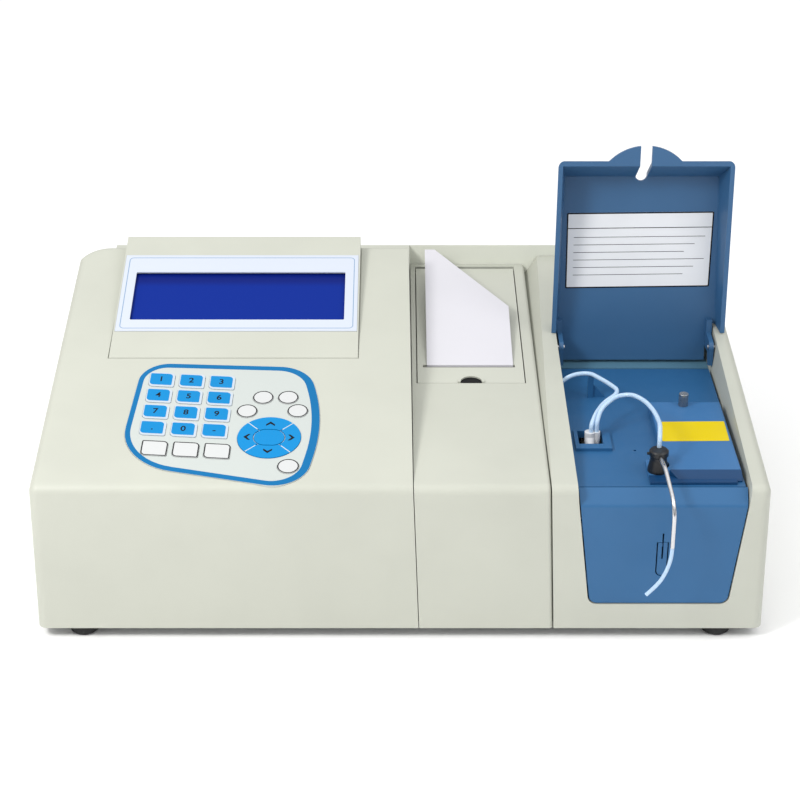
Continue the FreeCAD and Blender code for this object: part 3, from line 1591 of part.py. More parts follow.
def pump_body():
    base = pan_top()
    body = cylinder(pump_radius, point(pump_x, pump_y, base), point(pump_x, pump_y, base + pump_height))
    bore = cylinder(pump_radius - pump_wall, point(pump_x, pump_y, base + pump_floor),
                    point(pump_x, pump_y, base + pump_height + overrun))
    axle = cylinder(rotor_axle_radius, point(pump_x, pump_y, base + pump_floor / 2),
                    point(pump_x, pump_y, base + pump_floor + rotor_height))
    return body.cut(bore).fuse(axle)


def pump_rotor():
    base = pan_top() + pump_floor + running_fit
    rotor = cylinder(rotor_radius, point(pump_x, pump_y, base), point(pump_x, pump_y, base + rotor_height))
    for i in range(rotor_roller_count):
        angle = 2 * math.pi * i / rotor_roller_count
        x = pump_x + rotor_radius * math.cos(angle)
        y = pump_y + rotor_radius * math.sin(angle)
        roller = cylinder(rotor_roller_radius, point(x, y, base), point(x, y, base + rotor_height))
        rotor = rotor.fuse(roller)
    bore = cylinder(rotor_axle_radius + running_fit, point(pump_x, pump_y, base),
                    point(pump_x, pump_y, base + rotor_height))
    return rotor.cut(bore)


def all_parts():
    parts = {"left_cover": console_cover(), "middle_cover": middle_cover(), "right_cover": bay_cover(),
             "rear_cover": rear_cover(), "base_pan": base_pan(), "feet": feet(),
             "display_housing": display_housing(), "display_fascia": display_fascia(),
             "display_module": display_module(), "keypad_overlay": keypad_overlay(),
             "printer_cover": printer_cover(), "paper_strip": paper_strip(),
             "platen_roller": platen_roller(), "printer_frame": printer_frame(), "paper_roll": paper_roll(),
             "main_board": main_board(), "power_supply": power_supply(), "power_inlet": power_inlet(),
             "power_switch": power_switch()}
    bay = {"deck": deck(), "lamp_cover": lamp_cover(), "thumb_screw": thumb_screw(),
           "sipper_holder": sipper_holder(), "sipper_probe": sipper_probe(),
           "tube_connector": tube_connector(), "lid": lid(), "lid_pins": lid_pins(),
           "front_door": front_door(), "sipper_trigger": sipper_trigger(), "photometer": photometer(),
           "pump_body": pump_body(), "pump_rotor": pump_rotor()}
    bay.update(soft_tubes())
    parts.update({name: in_bay(shape) for name, shape in bay.items()})
    parts.update(keys())
    return parts


def write_parts():
    os.makedirs("parts", exist_ok=True)
    for name, shape in all_parts().items():
        placed = shape.copy()
        placed.translate(point(0, -centre_y, 0))
        placed.exportStep(f"parts/{name}.step")
        bounds = placed.BoundBox
        print(name, "solids", len(placed.Solids), "valid", placed.isValid(), "volume", round(placed.Volume),
              "x", round(bounds.XMin, 1), round(bounds.XMax, 1), "y", round(bounds.YMin, 1),
              round(bounds.YMax, 1), "z", round(bounds.ZMin, 1), round(bounds.ZMax, 1))


write_parts()
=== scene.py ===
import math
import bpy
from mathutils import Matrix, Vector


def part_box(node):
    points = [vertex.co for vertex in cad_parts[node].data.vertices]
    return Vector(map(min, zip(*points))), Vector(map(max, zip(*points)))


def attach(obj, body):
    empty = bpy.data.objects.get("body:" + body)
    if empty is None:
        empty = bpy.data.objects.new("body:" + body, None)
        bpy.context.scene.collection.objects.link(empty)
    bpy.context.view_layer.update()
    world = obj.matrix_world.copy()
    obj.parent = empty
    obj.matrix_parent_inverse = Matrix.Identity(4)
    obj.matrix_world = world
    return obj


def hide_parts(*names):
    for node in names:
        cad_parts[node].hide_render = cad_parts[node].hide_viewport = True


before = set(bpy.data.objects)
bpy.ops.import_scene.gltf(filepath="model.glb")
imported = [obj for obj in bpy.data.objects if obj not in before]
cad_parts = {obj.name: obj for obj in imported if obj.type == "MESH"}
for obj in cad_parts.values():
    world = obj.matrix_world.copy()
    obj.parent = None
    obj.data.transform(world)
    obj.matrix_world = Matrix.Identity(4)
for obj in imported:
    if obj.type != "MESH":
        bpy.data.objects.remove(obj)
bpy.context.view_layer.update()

# %% [markdown]
# # A benchtop chemistry analyzer
# The CAD model already has every solid in its real place and size. This script gives those solids
# their finishes, adds the thin printed details that CAD leaves out, and sets up the photograph's view.
# The object's box is the space that every added piece stays in.

# %% [markdown]
# ## From the drawing's millimetres to the frame's metres
# The CAD drawing measures Y from the front face. The imported frame has its origin under the middle of
# the object, so one helper turns a drawing point into a frame point.

# %% A drawing point in the frame
CENTRE_Y = 152.325


def at(x, y, z):
    return Vector((x / 1000, (y - CENTRE_Y) / 1000, z / 1000))


print("front edge of the deck is at", at(0, 11, 103))

# %% [markdown]
# ## The camera
# The photograph was taken from straight in front, a little above, with a long lens. A pinhole camera
# was matched to the case's edges: it stands a metre in front and looks down by 26.5 degrees. A long lens
# on a 36 mm sensor gives the flat perspective.

# %% Place the camera
CAMERA_DOWN = 26.5
CAMERA_FRONT, CAMERA_HEIGHT = -1055.9, 693.9
camera_data = bpy.data.cameras.new("camera")
camera_data.sensor_width = 36
camera_data.lens = 90
camera_data.clip_start = 0.05
camera = bpy.data.objects.new("camera", camera_data)
camera.location = at(0, CAMERA_FRONT, CAMERA_HEIGHT)
camera.rotation_euler = (math.radians(90 - CAMERA_DOWN), 0, 0)
bpy.context.scene.collection.objects.link(camera)
bpy.context.scene.camera = camera
print("camera at", [round(v, 4) for v in camera.location])

# %% [markdown]
# ## The sampling tube's soft end
# A short soft tube is pushed on the steel probe and hangs in front of the bay with a gentle bend to the
# left. It is free at its end, so it is one smooth NURBS line with a round bevel. The bevel is one metre and
# each point's own radius scales it down to the tube's, because Blender adds that radius to the curve's box.
# The other two tubes are held at both ends, so they stay the CAD's own solids.

# %% Draw the soft tube
TIP_DIAMETER, TIP_LENGTH = 0.0024, 0.0364
tip_points = [(164.0, -18.0, 77.0), (164.0, -18.0, 70.5), (161.2, -18.8, 60.5), (156.6, -19.4, 51.8),
              (149.6, -20.0, 45.0)]
tip_curve = bpy.data.curves.new("tip_tube_soft", "CURVE")
tip_curve.dimensions = "3D"
tip_curve.resolution_u = 16
tip_curve.bevel_depth = 1.0
tip_curve.bevel_resolution = 6
tip_curve.use_fill_caps = True
tip_line = tip_curve.splines.new("NURBS")
tip_line.points.add(len(tip_points) - 1)
for spline_point, place in zip(tip_line.points, tip_points):
    spline_point.co = (*at(*place), 1)
    spline_point.radius = TIP_DIAMETER / 2
tip_line.order_u = 3
tip_line.use_endpoint_u = True
tip = bpy.data.objects.new("tip_tube_soft", tip_curve)
bpy.context.scene.collection.objects.link(tip)
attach(tip, "case")
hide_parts("tip_tube")
print("soft tube has", len(tip_points), "control points")

# %% [markdown]
# ## Finishes
# Moulded plastic is never one flat colour: the pigment is a little cloudy, the gloss changes slowly, and
# a fine spark-eroded grain catches the light. One helper makes that for every plastic piece. It mixes two
# near colours with a soft noise, moves the roughness with another, and bumps the surface with a fine one.

# %% A helper for colours and moulded plastic


def linear(red, green, blue):
    # A colour as it looks in a picture, turned into the linear light that a shader takes.
    result = []
    for value in (red, green, blue):
        share = value / 255
        result.append(share / 12.92 if share <= 0.04045 else ((share + 0.055) / 1.055) ** 2.4)
    return result


def noise(tree, scale, detail=4.0, roughness=0.55):
    coordinates = tree.nodes.new("ShaderNodeTexCoord")
    texture = tree.nodes.new("ShaderNodeTexNoise")
    texture.inputs["Scale"].default_value = scale
    texture.inputs["Detail"].default_value = detail
    texture.inputs["Roughness"].default_value = roughness
    tree.links.new(coordinates.outputs["Object"], texture.inputs["Vector"])
    return texture


def two_tone(tree, factor, first, second):
    mix = tree.nodes.new("ShaderNodeMix")
    mix.data_type = "RGBA"
    mix.inputs["A"].default_value = (*first, 1)
    mix.inputs["B"].default_value = (*second, 1)
    tree.links.new(factor, mix.inputs["Factor"])
    return mix.outputs["Result"]


def spread(tree, value, low_value, high_value):
    remap = tree.nodes.new("ShaderNodeMapRange")
    remap.inputs["From Min"].default_value = 0.3
    remap.inputs["From Max"].default_value = 0.7
    remap.inputs["To Min"].default_value = low_value
    remap.inputs["To Max"].default_value = high_value
    tree.links.new(value, remap.inputs["Value"])
    return remap.outputs["Result"]


def new_material(name):
    made = bpy.data.materials.new(name)
    made.use_nodes = True
    return made, made.node_tree, made.node_tree.nodes["Principled BSDF"]


def moulded(name, rgb, roughness=0.42, cloud=0.03, grain=0.00002, grain_scale=2600.0, cloud_scale=14.0):
    made, tree, shader = new_material(name)
    base = linear(*rgb)
    dark = [v * (1 - cloud) for v in base]
    light = [min(1.0, v * (1 + cloud)) for v in base]
    clouds = noise(tree, cloud_scale, 3.0)
    tree.links.new(two_tone(tree, spread(tree, clouds.outputs["Fac"], 0, 1), dark, light),
                   shader.inputs["Base Color"])
    gloss = noise(tree, 60.0, 2.0)
    tree.links.new(spread(tree, gloss.outputs["Fac"], roughness - 0.04, roughness + 0.05),
                   shader.inputs["Roughness"])
    if grain:
        fine = noise(tree, grain_scale, 2.0)
        bump = tree.nodes.new("ShaderNodeBump")
        bump.inputs["Strength"].default_value = 1.0
        bump.inputs["Distance"].default_value = grain
        tree.links.new(fine.outputs["Fac"], bump.inputs["Height"])
        tree.links.new(bump.outputs["Normal"], shader.inputs["Normal"])
    return made, tree, shader


def dress(node, material):
    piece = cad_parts[node]
    piece.data.materials.clear()
    piece.data.materials.append(material)


# %% [markdown]
# ## The cream case
# The covers are cream plastic with a very fine grain. The left, middle and right covers and the display's
# housing share one material, so they match as real mouldings from one batch do. The printer's cover is a
# touch paler. The rear cover has that cream too, but its upright face in front catches the light that the
# slopes throw back, so it is painted paler there: the surface's own direction mixes that shade in.

# %% Dress the case


def paint_light_past(tree, shader, axis, start, end, rgb, by="Object"):
    # Painted light or shade: a second colour mixed into the plastic past a place along one axis of the frame,
    # or past a slope of the surface where by is "Normal".
    before = shader.inputs["Base Color"].links[0].from_socket
    place = tree.nodes.new("ShaderNodeTexCoord")
    axes = tree.nodes.new("ShaderNodeSeparateXYZ")
    step = tree.nodes.new("ShaderNodeMapRange")
    step.inputs["From Min"].default_value = start
    step.inputs["From Max"].default_value = end
    mix = tree.nodes.new("ShaderNodeMix")
    mix.data_type = "RGBA"
    mix.inputs["B"].default_value = (*linear(*rgb), 1)
    tree.links.new(place.outputs[by], axes.inputs["Vector"])
    tree.links.new(axes.outputs[axis], step.inputs["Value"])
    tree.links.new(step.outputs["Result"], mix.inputs["Factor"])
    tree.links.new(before, mix.inputs["A"])
    tree.links.new(mix.outputs["Result"], shader.inputs["Base Color"])


CASE_CREAM = (184, 186, 175)
cream, _, _ = moulded("case_cream", CASE_CREAM, roughness=0.5)
for node in ("left_cover", "middle_cover", "right_cover", "display_housing"):
    dress(node, cream)
# Painted light: the base colour is a paler cream on the upright front face, for the light it catches; faces
# turned away get the case cream.
rear_cream, rear_tree, rear_shader = moulded("rear_cream", (231, 233, 221), roughness=0.5)
FACES_FRONT, FACES_AWAY = -0.95, -0.75
paint_light_past(rear_tree, rear_shader, "Y", FACES_FRONT, FACES_AWAY, CASE_CREAM, by="Normal")
dress("rear_cover", rear_cream)
pale_cream, _, _ = moulded("printer_cream", (188, 190, 179), roughness=0.48)
dress("printer_cover", pale_cream)
print("cream covers:", 6)

# %% [markdown]
# ## The blue plastics of the sample bay
# The deck, door, lamp cover and lid are blue. The lid is a little duller than the deck. They have the same
# fine grain as the case, with a stronger cloud, because a deep colour shows it more. Two places get painted
# light: the deck's strip behind the lamp cover is painted a lighter grey, a painted reflection of the cream
# around it, and the lamp cover's front is painted darker, a painted shade. A step along the frame's Y axis
# gives them, so each piece keeps one material.

# %% Dress the blue pieces
PLASTIC_SHINE = 0.35
STRIP_START, STRIP_END, FRONT_START, FRONT_END = 184, 185, 22.4, 22.1
deck_blue, deck_tree, deck_shader = moulded("deck_blue", (39, 90, 135), roughness=0.42, cloud=0.05)
deck_shader.inputs["Specular IOR Level"].default_value = PLASTIC_SHINE
# Painted reflection: the strip behind the deck's back edge is painted a lighter grey-blue for the cream it
# reflects in the lid's shade.
paint_light_past(deck_tree, deck_shader, "Y", at(0, STRIP_START, 0).y, at(0, STRIP_END, 0).y, (84, 124, 146))
dress("deck", deck_blue)
door_blue, _, door_shader = moulded("bay_blue", (45, 95, 140), roughness=0.42, cloud=0.05)
door_shader.inputs["Specular IOR Level"].default_value = PLASTIC_SHINE
for node in ("front_door", "sipper_trigger"):
    dress(node, door_blue)
cover_blue, cover_tree, cover_shader = moulded("cover_blue", (52, 104, 154), roughness=0.38, cloud=0.04,
                                               grain=0.00001)
cover_shader.inputs["Specular IOR Level"].default_value = PLASTIC_SHINE
# Painted shade: the lamp cover's front face is painted darker.
paint_light_past(cover_tree, cover_shader, "Y", at(0, FRONT_START, 0).y, at(0, FRONT_END, 0).y, (8, 58, 101))
dress("lamp_cover", cover_blue)
lid_blue, _, _ = moulded("lid_blue", (50, 93, 134), roughness=0.46, cloud=0.05)
dress("lid", lid_blue)
print("blue pieces:", 5)

# %% [markdown]
# ## Rubber, dark plastic and white fittings
# These are small pieces, but each is seen up close: the feet, the tube holder, the white connector, the
# socket at the back and the printer's inside.

# %% Dress the small mouldings
black, _, _ = moulded("holder_black", (16, 17, 20), roughness=0.34, cloud=0.08)
rubber, _, _ = moulded("foot_black", (32, 32, 33), roughness=0.75, cloud=0.12, grain=0.00004)
white, _, _ = moulded("fitting_white", (206, 208, 212), roughness=0.35, cloud=0.02)
inner_grey, _, _ = moulded("frame_grey", (88, 92, 96), roughness=0.6, cloud=0.06)
socket_black, _, _ = moulded("socket_black", (30, 30, 32), roughness=0.5, cloud=0.1)
for node, material in (("feet", rubber), ("platen_roller", rubber), ("sipper_holder", black),
                       ("tube_connector", white), ("pump_body", white), ("pump_rotor", inner_grey),
                       ("printer_frame", inner_grey), ("power_inlet", socket_black),
                       ("power_switch", black)):
    dress(node, material)
print("small mouldings dressed")

# %% [markdown]
# ## Metals
# The probe, pins and knurled screw are steel. Turned and drawn steel has fine lines along or round it,
# so the noise that moves the roughness is stretched. The base pan is powder coated, which looks like
# fine orange peel.

# %% Dress the metals


def steel(name, rgb, roughness, stretch):
    made, tree, shader = new_material(name)
    shader.inputs["Metallic"].default_value = 1.0
    coordinates = tree.nodes.new("ShaderNodeTexCoord")
    mapping = tree.nodes.new("ShaderNodeMapping")
    mapping.inputs["Scale"].default_value = stretch
    lines = tree.nodes.new("ShaderNodeTexNoise")
    lines.inputs["Scale"].default_value = 900.0
    tree.links.new(coordinates.outputs["Object"], mapping.inputs["Vector"])
    tree.links.new(mapping.outputs["Vector"], lines.inputs["Vector"])
    base = linear(*rgb)
    tree.links.new(two_tone(tree, spread(tree, lines.outputs["Fac"], 0, 1), [v * 0.85 for v in base], base),
                   shader.inputs["Base Color"])
    tree.links.new(spread(tree, lines.outputs["Fac"], roughness * 0.8, roughness * 1.3),
                   shader.inputs["Roughness"])
    return made


bright_steel = steel("probe_steel", (214, 214, 217), 0.2, (1, 1, 0.05))
screw_steel = steel("screw_steel", (168, 172, 176), 0.32, (0.2, 0.2, 1))
sheet_steel = steel("supply_steel", (180, 180, 180), 0.4, (1, 0.05, 1))
for node, material in (("sipper_probe", bright_steel), ("lid_pins", bright_steel),
                       ("thumb_screw", screw_steel), ("power_supply", sheet_steel)):
    dress(node, material)
powder, _, _ = moulded("pan_grey", (150, 152, 152), roughness=0.55, cloud=0.03, grain=0.00005, grain_scale=1200)
anodised, _, _ = moulded("optic_black", (40, 40, 43), roughness=0.4, cloud=0.06)
board_green, _, _ = moulded("board_green", (38, 96, 60), roughness=0.3, cloud=0.1, cloud_scale=160)
for node, material in (("base_pan", powder), ("photometer", anodised), ("main_board", board_green)):
    dress(node, material)
print("metals dressed")

# %% [markdown]
# ## Milky tubes
# The soft tubes are translucent. Light that enters them scatters a little, so they look pale and glow at
# the edges. Subsurface scattering at a millimetre's radius gives that without the cost of real refraction.

# %% Dress the tubes


def milky(name, rgb):
    made, tree, shader = moulded(name, rgb, roughness=0.22, cloud=0.03, grain=0)
    shader.inputs["Subsurface Weight"].default_value = 0.4
    shader.inputs["Subsurface Radius"].default_value = (0.9, 1.0, 1.2)
    shader.inputs["Subsurface Scale"].default_value = 0.001
    return made


tube_material = milky("tube_clear", (178, 202, 226))
for node in ("drain_tube", "sipper_tube"):
    dress(node, tube_material)
tip.data.materials.append(tube_material)
print("tubes dressed")

# %% [markdown]
# ## Thermal paper
# The strip is smooth white paper with a very faint blue cast. Its fibres show only as a soft, slow
# change of shade.

# %% Dress the paper
paper, _, _ = moulded("paper_white", (205, 204, 210), roughness=0.6, cloud=0.012, grain=0.00001,
                      grain_scale=900)
for node in ("paper_strip", "paper_roll"):
    dress(node, paper)
print("paper dressed")

# %% [markdown]
# ## The display
# The screen is a deep blue panel behind a clear face, set back in its window. Its upper edge is darker,
# because the window shades it. A gradient along the slope makes that, and a clear coat gives the face's
# gloss. The film round it is a pale satin plastic.

# %% Dress the screen and its film
SCREEN_HIGH_Z = 0.1571
screen, screen_tree, screen_shader = new_material("screen_blue")
place = screen_tree.nodes.new("ShaderNodeTexCoord")
axes = screen_tree.nodes.new("ShaderNodeSeparateXYZ")
ramp = screen_tree.nodes.new("ShaderNodeMapRange")
ramp.interpolation_type = "SMOOTHSTEP"
ramp.inputs["From Min"].default_value = SCREEN_HIGH_Z - 0.0035
ramp.inputs["From Max"].default_value = SCREEN_HIGH_Z - 0.0012
screen_tree.links.new(place.outputs["Object"], axes.inputs["Vector"])
screen_tree.links.new(axes.outputs["Z"], ramp.inputs["Value"])
screen_tree.links.new(two_tone(screen_tree, ramp.outputs["Result"], linear(3, 38, 132), linear(8, 28, 110)),
                      screen_shader.inputs["Base Color"])
screen_shader.inputs["Roughness"].default_value = 0.5
screen_shader.inputs["Specular IOR Level"].default_value = 0.06
screen_shader.inputs["Coat Weight"].default_value = 0.04
screen_shader.inputs["Coat Roughness"].default_value = 0.25
dress("display_module", screen)
film, _, _ = moulded("fascia_pale", (193, 200, 212), roughness=0.35, cloud=0.01, grain=0.00001)
dress("display_fascia", film)
print("screen dressed")

# %% [markdown]
# ## Thin printed shapes
# Lines and fields that are printed on a film are modelled as very thin plates, so that they show in any
# viewer and ride with the piece that they are printed on. Each is drawn flat, in millimetres, and a matrix
# lays it on its surface. The helpers make rounded outlines, plates and rings.

# %% Helpers for flat shapes


def outline(corners, radii, steps=8):
    # Points round a polygon with every corner turned by an arc.
    points = []
    count = len(corners)
    for i in range(count):
        here = Vector(corners[i])
        before = (Vector(corners[i - 1]) - here).normalized()
        after = (Vector(corners[(i + 1) % count]) - here).normalized()
        half_turn = (math.pi - before.angle(after)) / 2
        reach = radii[i] * math.tan(half_turn)
        if radii[i] <= 0:
            points.append(here)
            continue
        centre = here + (before + after).normalized() * (radii[i] / math.cos(half_turn))
        first = here + before * reach - centre
        turn = first.angle_signed(here + after * reach - centre)
        for step in range(steps + 1):
            angle = -turn * step / steps
            points.append(centre + Vector((first.x * math.cos(angle) - first.y * math.sin(angle),
                                           first.x * math.sin(angle) + first.y * math.cos(angle))))
    return points


def circle(x, y, radius, steps=48):
    return [Vector((x + radius * math.cos(2 * math.pi * i / steps),
                    y + radius * math.sin(2 * math.pi * i / steps))) for i in range(steps)]


def link_mesh(name, points, faces, matrix, body, material):
    mesh = bpy.data.meshes.new(name)
    mesh.from_pydata([(x / 1000, y / 1000, z / 1000) for x, y, z in points], [], faces)
    mesh.materials.append(material)
    piece = bpy.data.objects.new(name, mesh)
    bpy.context.scene.collection.objects.link(piece)
    piece.matrix_world = matrix
    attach(piece, body)
    return piece


def plate(name, points, low_z, high_z, matrix, body, material):
    count = len(points)
    both = [(p.x, p.y, low_z) for p in points] + [(p.x, p.y, high_z) for p in points]
    faces = [list(reversed(range(count))), list(range(count, 2 * count))]
    faces += [[i, (i + 1) % count, count + (i + 1) % count, count + i] for i in range(count)]
    return link_mesh(name, both, faces, matrix, body, material)


def ring(name, outer, inner, low_z, high_z, matrix, body, material):
    count = len(outer)
    loops = [(outer, low_z), (outer, high_z), (inner, high_z), (inner, low_z)]
    both = [(p.x, p.y, z) for points, z in loops for p in points]
    faces = []
    for k in range(4):
        for i in range(count):
            j = (i + 1) % count
            after = (k + 1) % 4
            faces.append([k * count + i, k * count + j, after * count + j, after * count + i])
    return link_mesh(name, both, faces, matrix, body, material)


INK_SHINE = 0.15


def ink(name, rgb, roughness=0.5):
    made, _, shader = moulded(name, rgb, roughness=roughness, cloud=0.05, grain=0)
    shader.inputs["Specular IOR Level"].default_value = INK_SHINE
    return made


PRINT_LOW = 0.01
PRINT_HIGH = 0.05
dark_ink = ink("ink_dark", (16, 16, 18))
line_ink = ink("ink_line", (120, 150, 182))
print("flat shape helpers are ready")

# %% [markdown]
# ## The line round the display
# A fine grey-blue line with round corners runs just inside the film's edge.

# %% Draw the display's line
DISPLAY_FRONT, DISPLAY_HEIGHT, DISPLAY_SLOPE = 127, 134.995, 16
FILM_TOP = 0.3
display_plane = (Matrix.Translation(at(0, DISPLAY_FRONT, DISPLAY_HEIGHT))
                 @ Matrix.Rotation(math.radians(DISPLAY_SLOPE), 4, "X"))


def rectangle(x0, x1, y0, y1, radius):
    return outline([(x0, y0), (x1, y0), (x1, y1), (x0, y1)], [radius] * 4)


LINE_INSET, LINE_WIDTH, LINE_RADIUS = 2.6, 0.5, 3.0
film_left, film_right, film_front, film_back = -189.4, -28.6, 26.7, 107.3
outer = rectangle(film_left + LINE_INSET, film_right - LINE_INSET, film_front + LINE_INSET,
                  film_back - LINE_INSET, LINE_RADIUS)
inner = rectangle(film_left + LINE_INSET + LINE_WIDTH, film_right - LINE_INSET - LINE_WIDTH,
                  film_front + LINE_INSET + LINE_WIDTH, film_back - LINE_INSET - LINE_WIDTH,
                  LINE_RADIUS - LINE_WIDTH)
ring("display_line", outer, inner, FILM_TOP + PRINT_LOW, FILM_TOP + PRINT_HIGH, display_plane, "case",
     line_ink)
print("display line drawn")

# %% [markdown]
# ## The keypad's film
# The film is pale with a blue band along its edge. The pale field is the film's own colour, and the band
# is a thin plate between two outlines: the film's outline and the same outline moved in.

# %% Draw the keypad's blue band
PAD_TURN, PAD_X, PAD_Y, PAD_SLOPE = -1.4, -111.0, 62.0, 12.0
FRONT_TOP = 108
pad_plane = (Matrix.Translation(at(0, 0, FRONT_TOP)) @ Matrix.Rotation(math.radians(PAD_SLOPE), 4, "X")
             @ Matrix.Translation((PAD_X / 1000, PAD_Y / 1000, 0))
             @ Matrix.Rotation(math.radians(PAD_TURN), 4, "Z"))
PAD_TOP, PAD_WIDTH, PAD_LENGTH = 0.5, 121.0, 118.4
pad_corners = [(x * PAD_WIDTH, y * PAD_LENGTH)
               for x, y in ((-0.513, -0.345), (0.442, -0.537), (0.529, 0.026), (0.418, 0.49), (-0.477, 0.509))]
pad_radii = [share * PAD_WIDTH for share in (0.338, 0.189, 1.4, 0.2, 0.159)]


def moved_in(corners, distance):
    # The corners with every side moved in; the corners run anticlockwise.
    result = []
    count = len(corners)
    for i in range(count):
        here = Vector(corners[i])
        first = (here - Vector(corners[i - 1])).normalized()
        second = (Vector(corners[(i + 1) % count]) - here).normalized()
        across = Vector((-first.y - second.y, first.x + second.x))
        result.append(here + across * (distance / (1 + first.dot(second))))
    return [tuple(p) for p in result]


def pad_outline(distance):
    return outline(moved_in(pad_corners, distance), [r - distance for r in pad_radii], steps=12)


pad_film, _, _ = moulded("pad_pale", (184, 190, 187), roughness=0.4, cloud=0.01, grain=0.00001)
dress("keypad_overlay", pad_film)
band_blue = ink("pad_blue_band", (3, 103, 158), 0.45)
BAND_INSET, BAND_WIDTH, BAND_SHIFT = 0.15, 4.3, 0.9
inner_edge = [p - Vector((BAND_SHIFT, 0)) for p in pad_outline(BAND_WIDTH)]
ring("keypad_band", pad_outline(BAND_INSET), inner_edge, PAD_TOP + PRINT_LOW, PAD_TOP + PRINT_HIGH,
     pad_plane, "case", band_blue)
print("keypad band drawn")

# %% [markdown]
# ## The keys
# Each function key is a pale cushion of the film with a blue print on it, and a digit or mark on the print.
# The print sits a little up and left, as on the real film, so a pale edge shows at the right and below. The
# action keys are white with a dark line, and the arrow pad is blue with chevrons. The digits are the
# font's own outlines turned into thin meshes, so they need no font file later. Each mark rides with its
# own key, so it goes down with it.

# %% Dress the keys
key_blue, _, key_shader = moulded("key_blue", (4, 126, 188), roughness=0.45, cloud=0.03, grain=0.00001)
key_pale, _, _ = moulded("key_pale", (182, 192, 202), roughness=0.4, cloud=0.01, grain=0.00001)
key_white, _, _ = moulded("key_white", (196, 198, 198), roughness=0.4, cloud=0.01, grain=0.00001)
key_sky, _, sky_shader = moulded("key_sky", (4, 128, 191), roughness=0.45, cloud=0.03, grain=0.00001)
for shader in (key_shader, sky_shader):
    shader.inputs["Specular IOR Level"].default_value = INK_SHINE
KEY_TOP = 1.0
blue_keys = [f"key_blue_{i}" for i in range(1, 13)]
plain_keys = [f"key_plain_{i}" for i in range(1, 4)]
round_keys = [f"key_round_{i}" for i in range(1, 6)]
arrow_keys = ["key_right", "key_up", "key_left", "key_down"]
for names, material in ((blue_keys, key_pale), (plain_keys + round_keys, key_white),
                        (arrow_keys + ["key_centre"], key_sky)):
    for node in names:
        dress(node, material)
print("keys:", len(blue_keys + plain_keys + round_keys + arrow_keys) + 1)

# %% Print the blue fields
KEY_PITCH_X, KEY_PITCH_Y, ROW_FALL = 19.5, 16.35, 0.05
FIRST_KEY = (-43.3, 42.4)
PLAIN_KEY = (-40.1, -26.3)


def cushion(x, y, half_x, half_y, full, sharp):
    # A key's own outline: two opposite corners are round and two are sharp, and it falls to the right.
    corners = [(x + dx, y + dy - dx * ROW_FALL)
               for dx, dy in ((-half_x, -half_y), (half_x, -half_y), (half_x, half_y), (-half_x, half_y))]
    return outline(corners, [full, sharp, full, sharp])


def key_place(first, column, row):
    along = column * KEY_PITCH_X
    return first[0] + along, first[1] - row * KEY_PITCH_Y - along * ROW_FALL


FIELD_SHIFT = (-0.5, 0.4)
FIELD_HALF_X, FIELD_HALF_Y, FIELD_FULL, FIELD_SHARP = 7.15, 5.8, 2.9, 0.8
FIELD_TOP = 0.03
field_places = []
for i, body in enumerate(blue_keys):
    row, column = divmod(i, 3)
    x, y = key_place(FIRST_KEY, column, row)
    x, y = x + FIELD_SHIFT[0], y + FIELD_SHIFT[1]
    field_places.append((x, y))
    field = cushion(x, y, FIELD_HALF_X, FIELD_HALF_Y, FIELD_FULL, FIELD_SHARP)
    plate(f"key_field_{i + 1}", field, KEY_TOP + PRINT_LOW, KEY_TOP + FIELD_TOP, pad_plane, body,
          key_blue)
print("blue fields printed:", len(field_places))

# %% Print the digits
DIGIT_HEIGHT = 6.8
DIGIT_BOLD = 0.12
digits = ["1", "2", "3", "4", "5", "6", "7", "8", "9", ".", "0", "-"]


def printed_text(name, text, x, y, size, top, body, material):
    letters = bpy.data.curves.new(name + "_letters", "FONT")
    letters.body = text
    letters.size = size / 1000
    letters.align_x = "CENTER"
    letters.align_y = "CENTER"
    letters.extrude = (PRINT_HIGH - PRINT_LOW) / 2000
    letters.offset = DIGIT_BOLD / 1000
    source = bpy.data.objects.new(name + "_letters", letters)
    bpy.context.scene.collection.objects.link(source)
    graph = bpy.context.evaluated_depsgraph_get()
    mesh = bpy.data.meshes.new_from_object(source.evaluated_get(graph))
    bpy.data.objects.remove(source)
    mesh.materials.clear()
    mesh.materials.append(material)
    piece = bpy.data.objects.new(name, mesh)
    bpy.context.scene.collection.objects.link(piece)
    middle = (PRINT_LOW + PRINT_HIGH) / 2
    piece.matrix_world = pad_plane @ Matrix.Translation((x / 1000, y / 1000, (top + middle) / 1000))
    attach(piece, body)
    return piece


for i, (text, (x, y)) in enumerate(zip(digits, field_places)):
    printed_text(f"digit_{i + 1}", text, x, y, DIGIT_HEIGHT, KEY_TOP + FIELD_TOP, blue_keys[i],
                 dark_ink)
print("digits printed:", len(digits))

# %% Line the white keys
KEY_LINE = 0.7
PLAIN_HALF_X, PLAIN_HALF_Y, PLAIN_FULL, PLAIN_SHARP, PLAIN_INNER_SHARP = 8.1, 7.0, 3.3, 0.9, 0.4
for column, body in enumerate(plain_keys):
    x, y = key_place(PLAIN_KEY, column, 0)
    outer = cushion(x, y, PLAIN_HALF_X, PLAIN_HALF_Y, PLAIN_FULL, PLAIN_SHARP)
    inner = cushion(x, y, PLAIN_HALF_X - KEY_LINE, PLAIN_HALF_Y - KEY_LINE, PLAIN_FULL - KEY_LINE,
                    PLAIN_INNER_SHARP)
    ring(f"key_line_{column + 1}", outer, inner, KEY_TOP + PRINT_LOW, KEY_TOP + PRINT_HIGH, pad_plane, body,
         dark_ink)
RING_MIDDLE, RING_RADIUS = (30.0, -14.2), 19.8
ROUND_INSET = 0.1
round_places = [(-0.34, 2.01, 6.5), (0.465, 2.03, 6.5), (-0.8, 1.3, 6.5), (0.815, 1.35, 6.5),
                (0.69, -1.38, 6.7)]
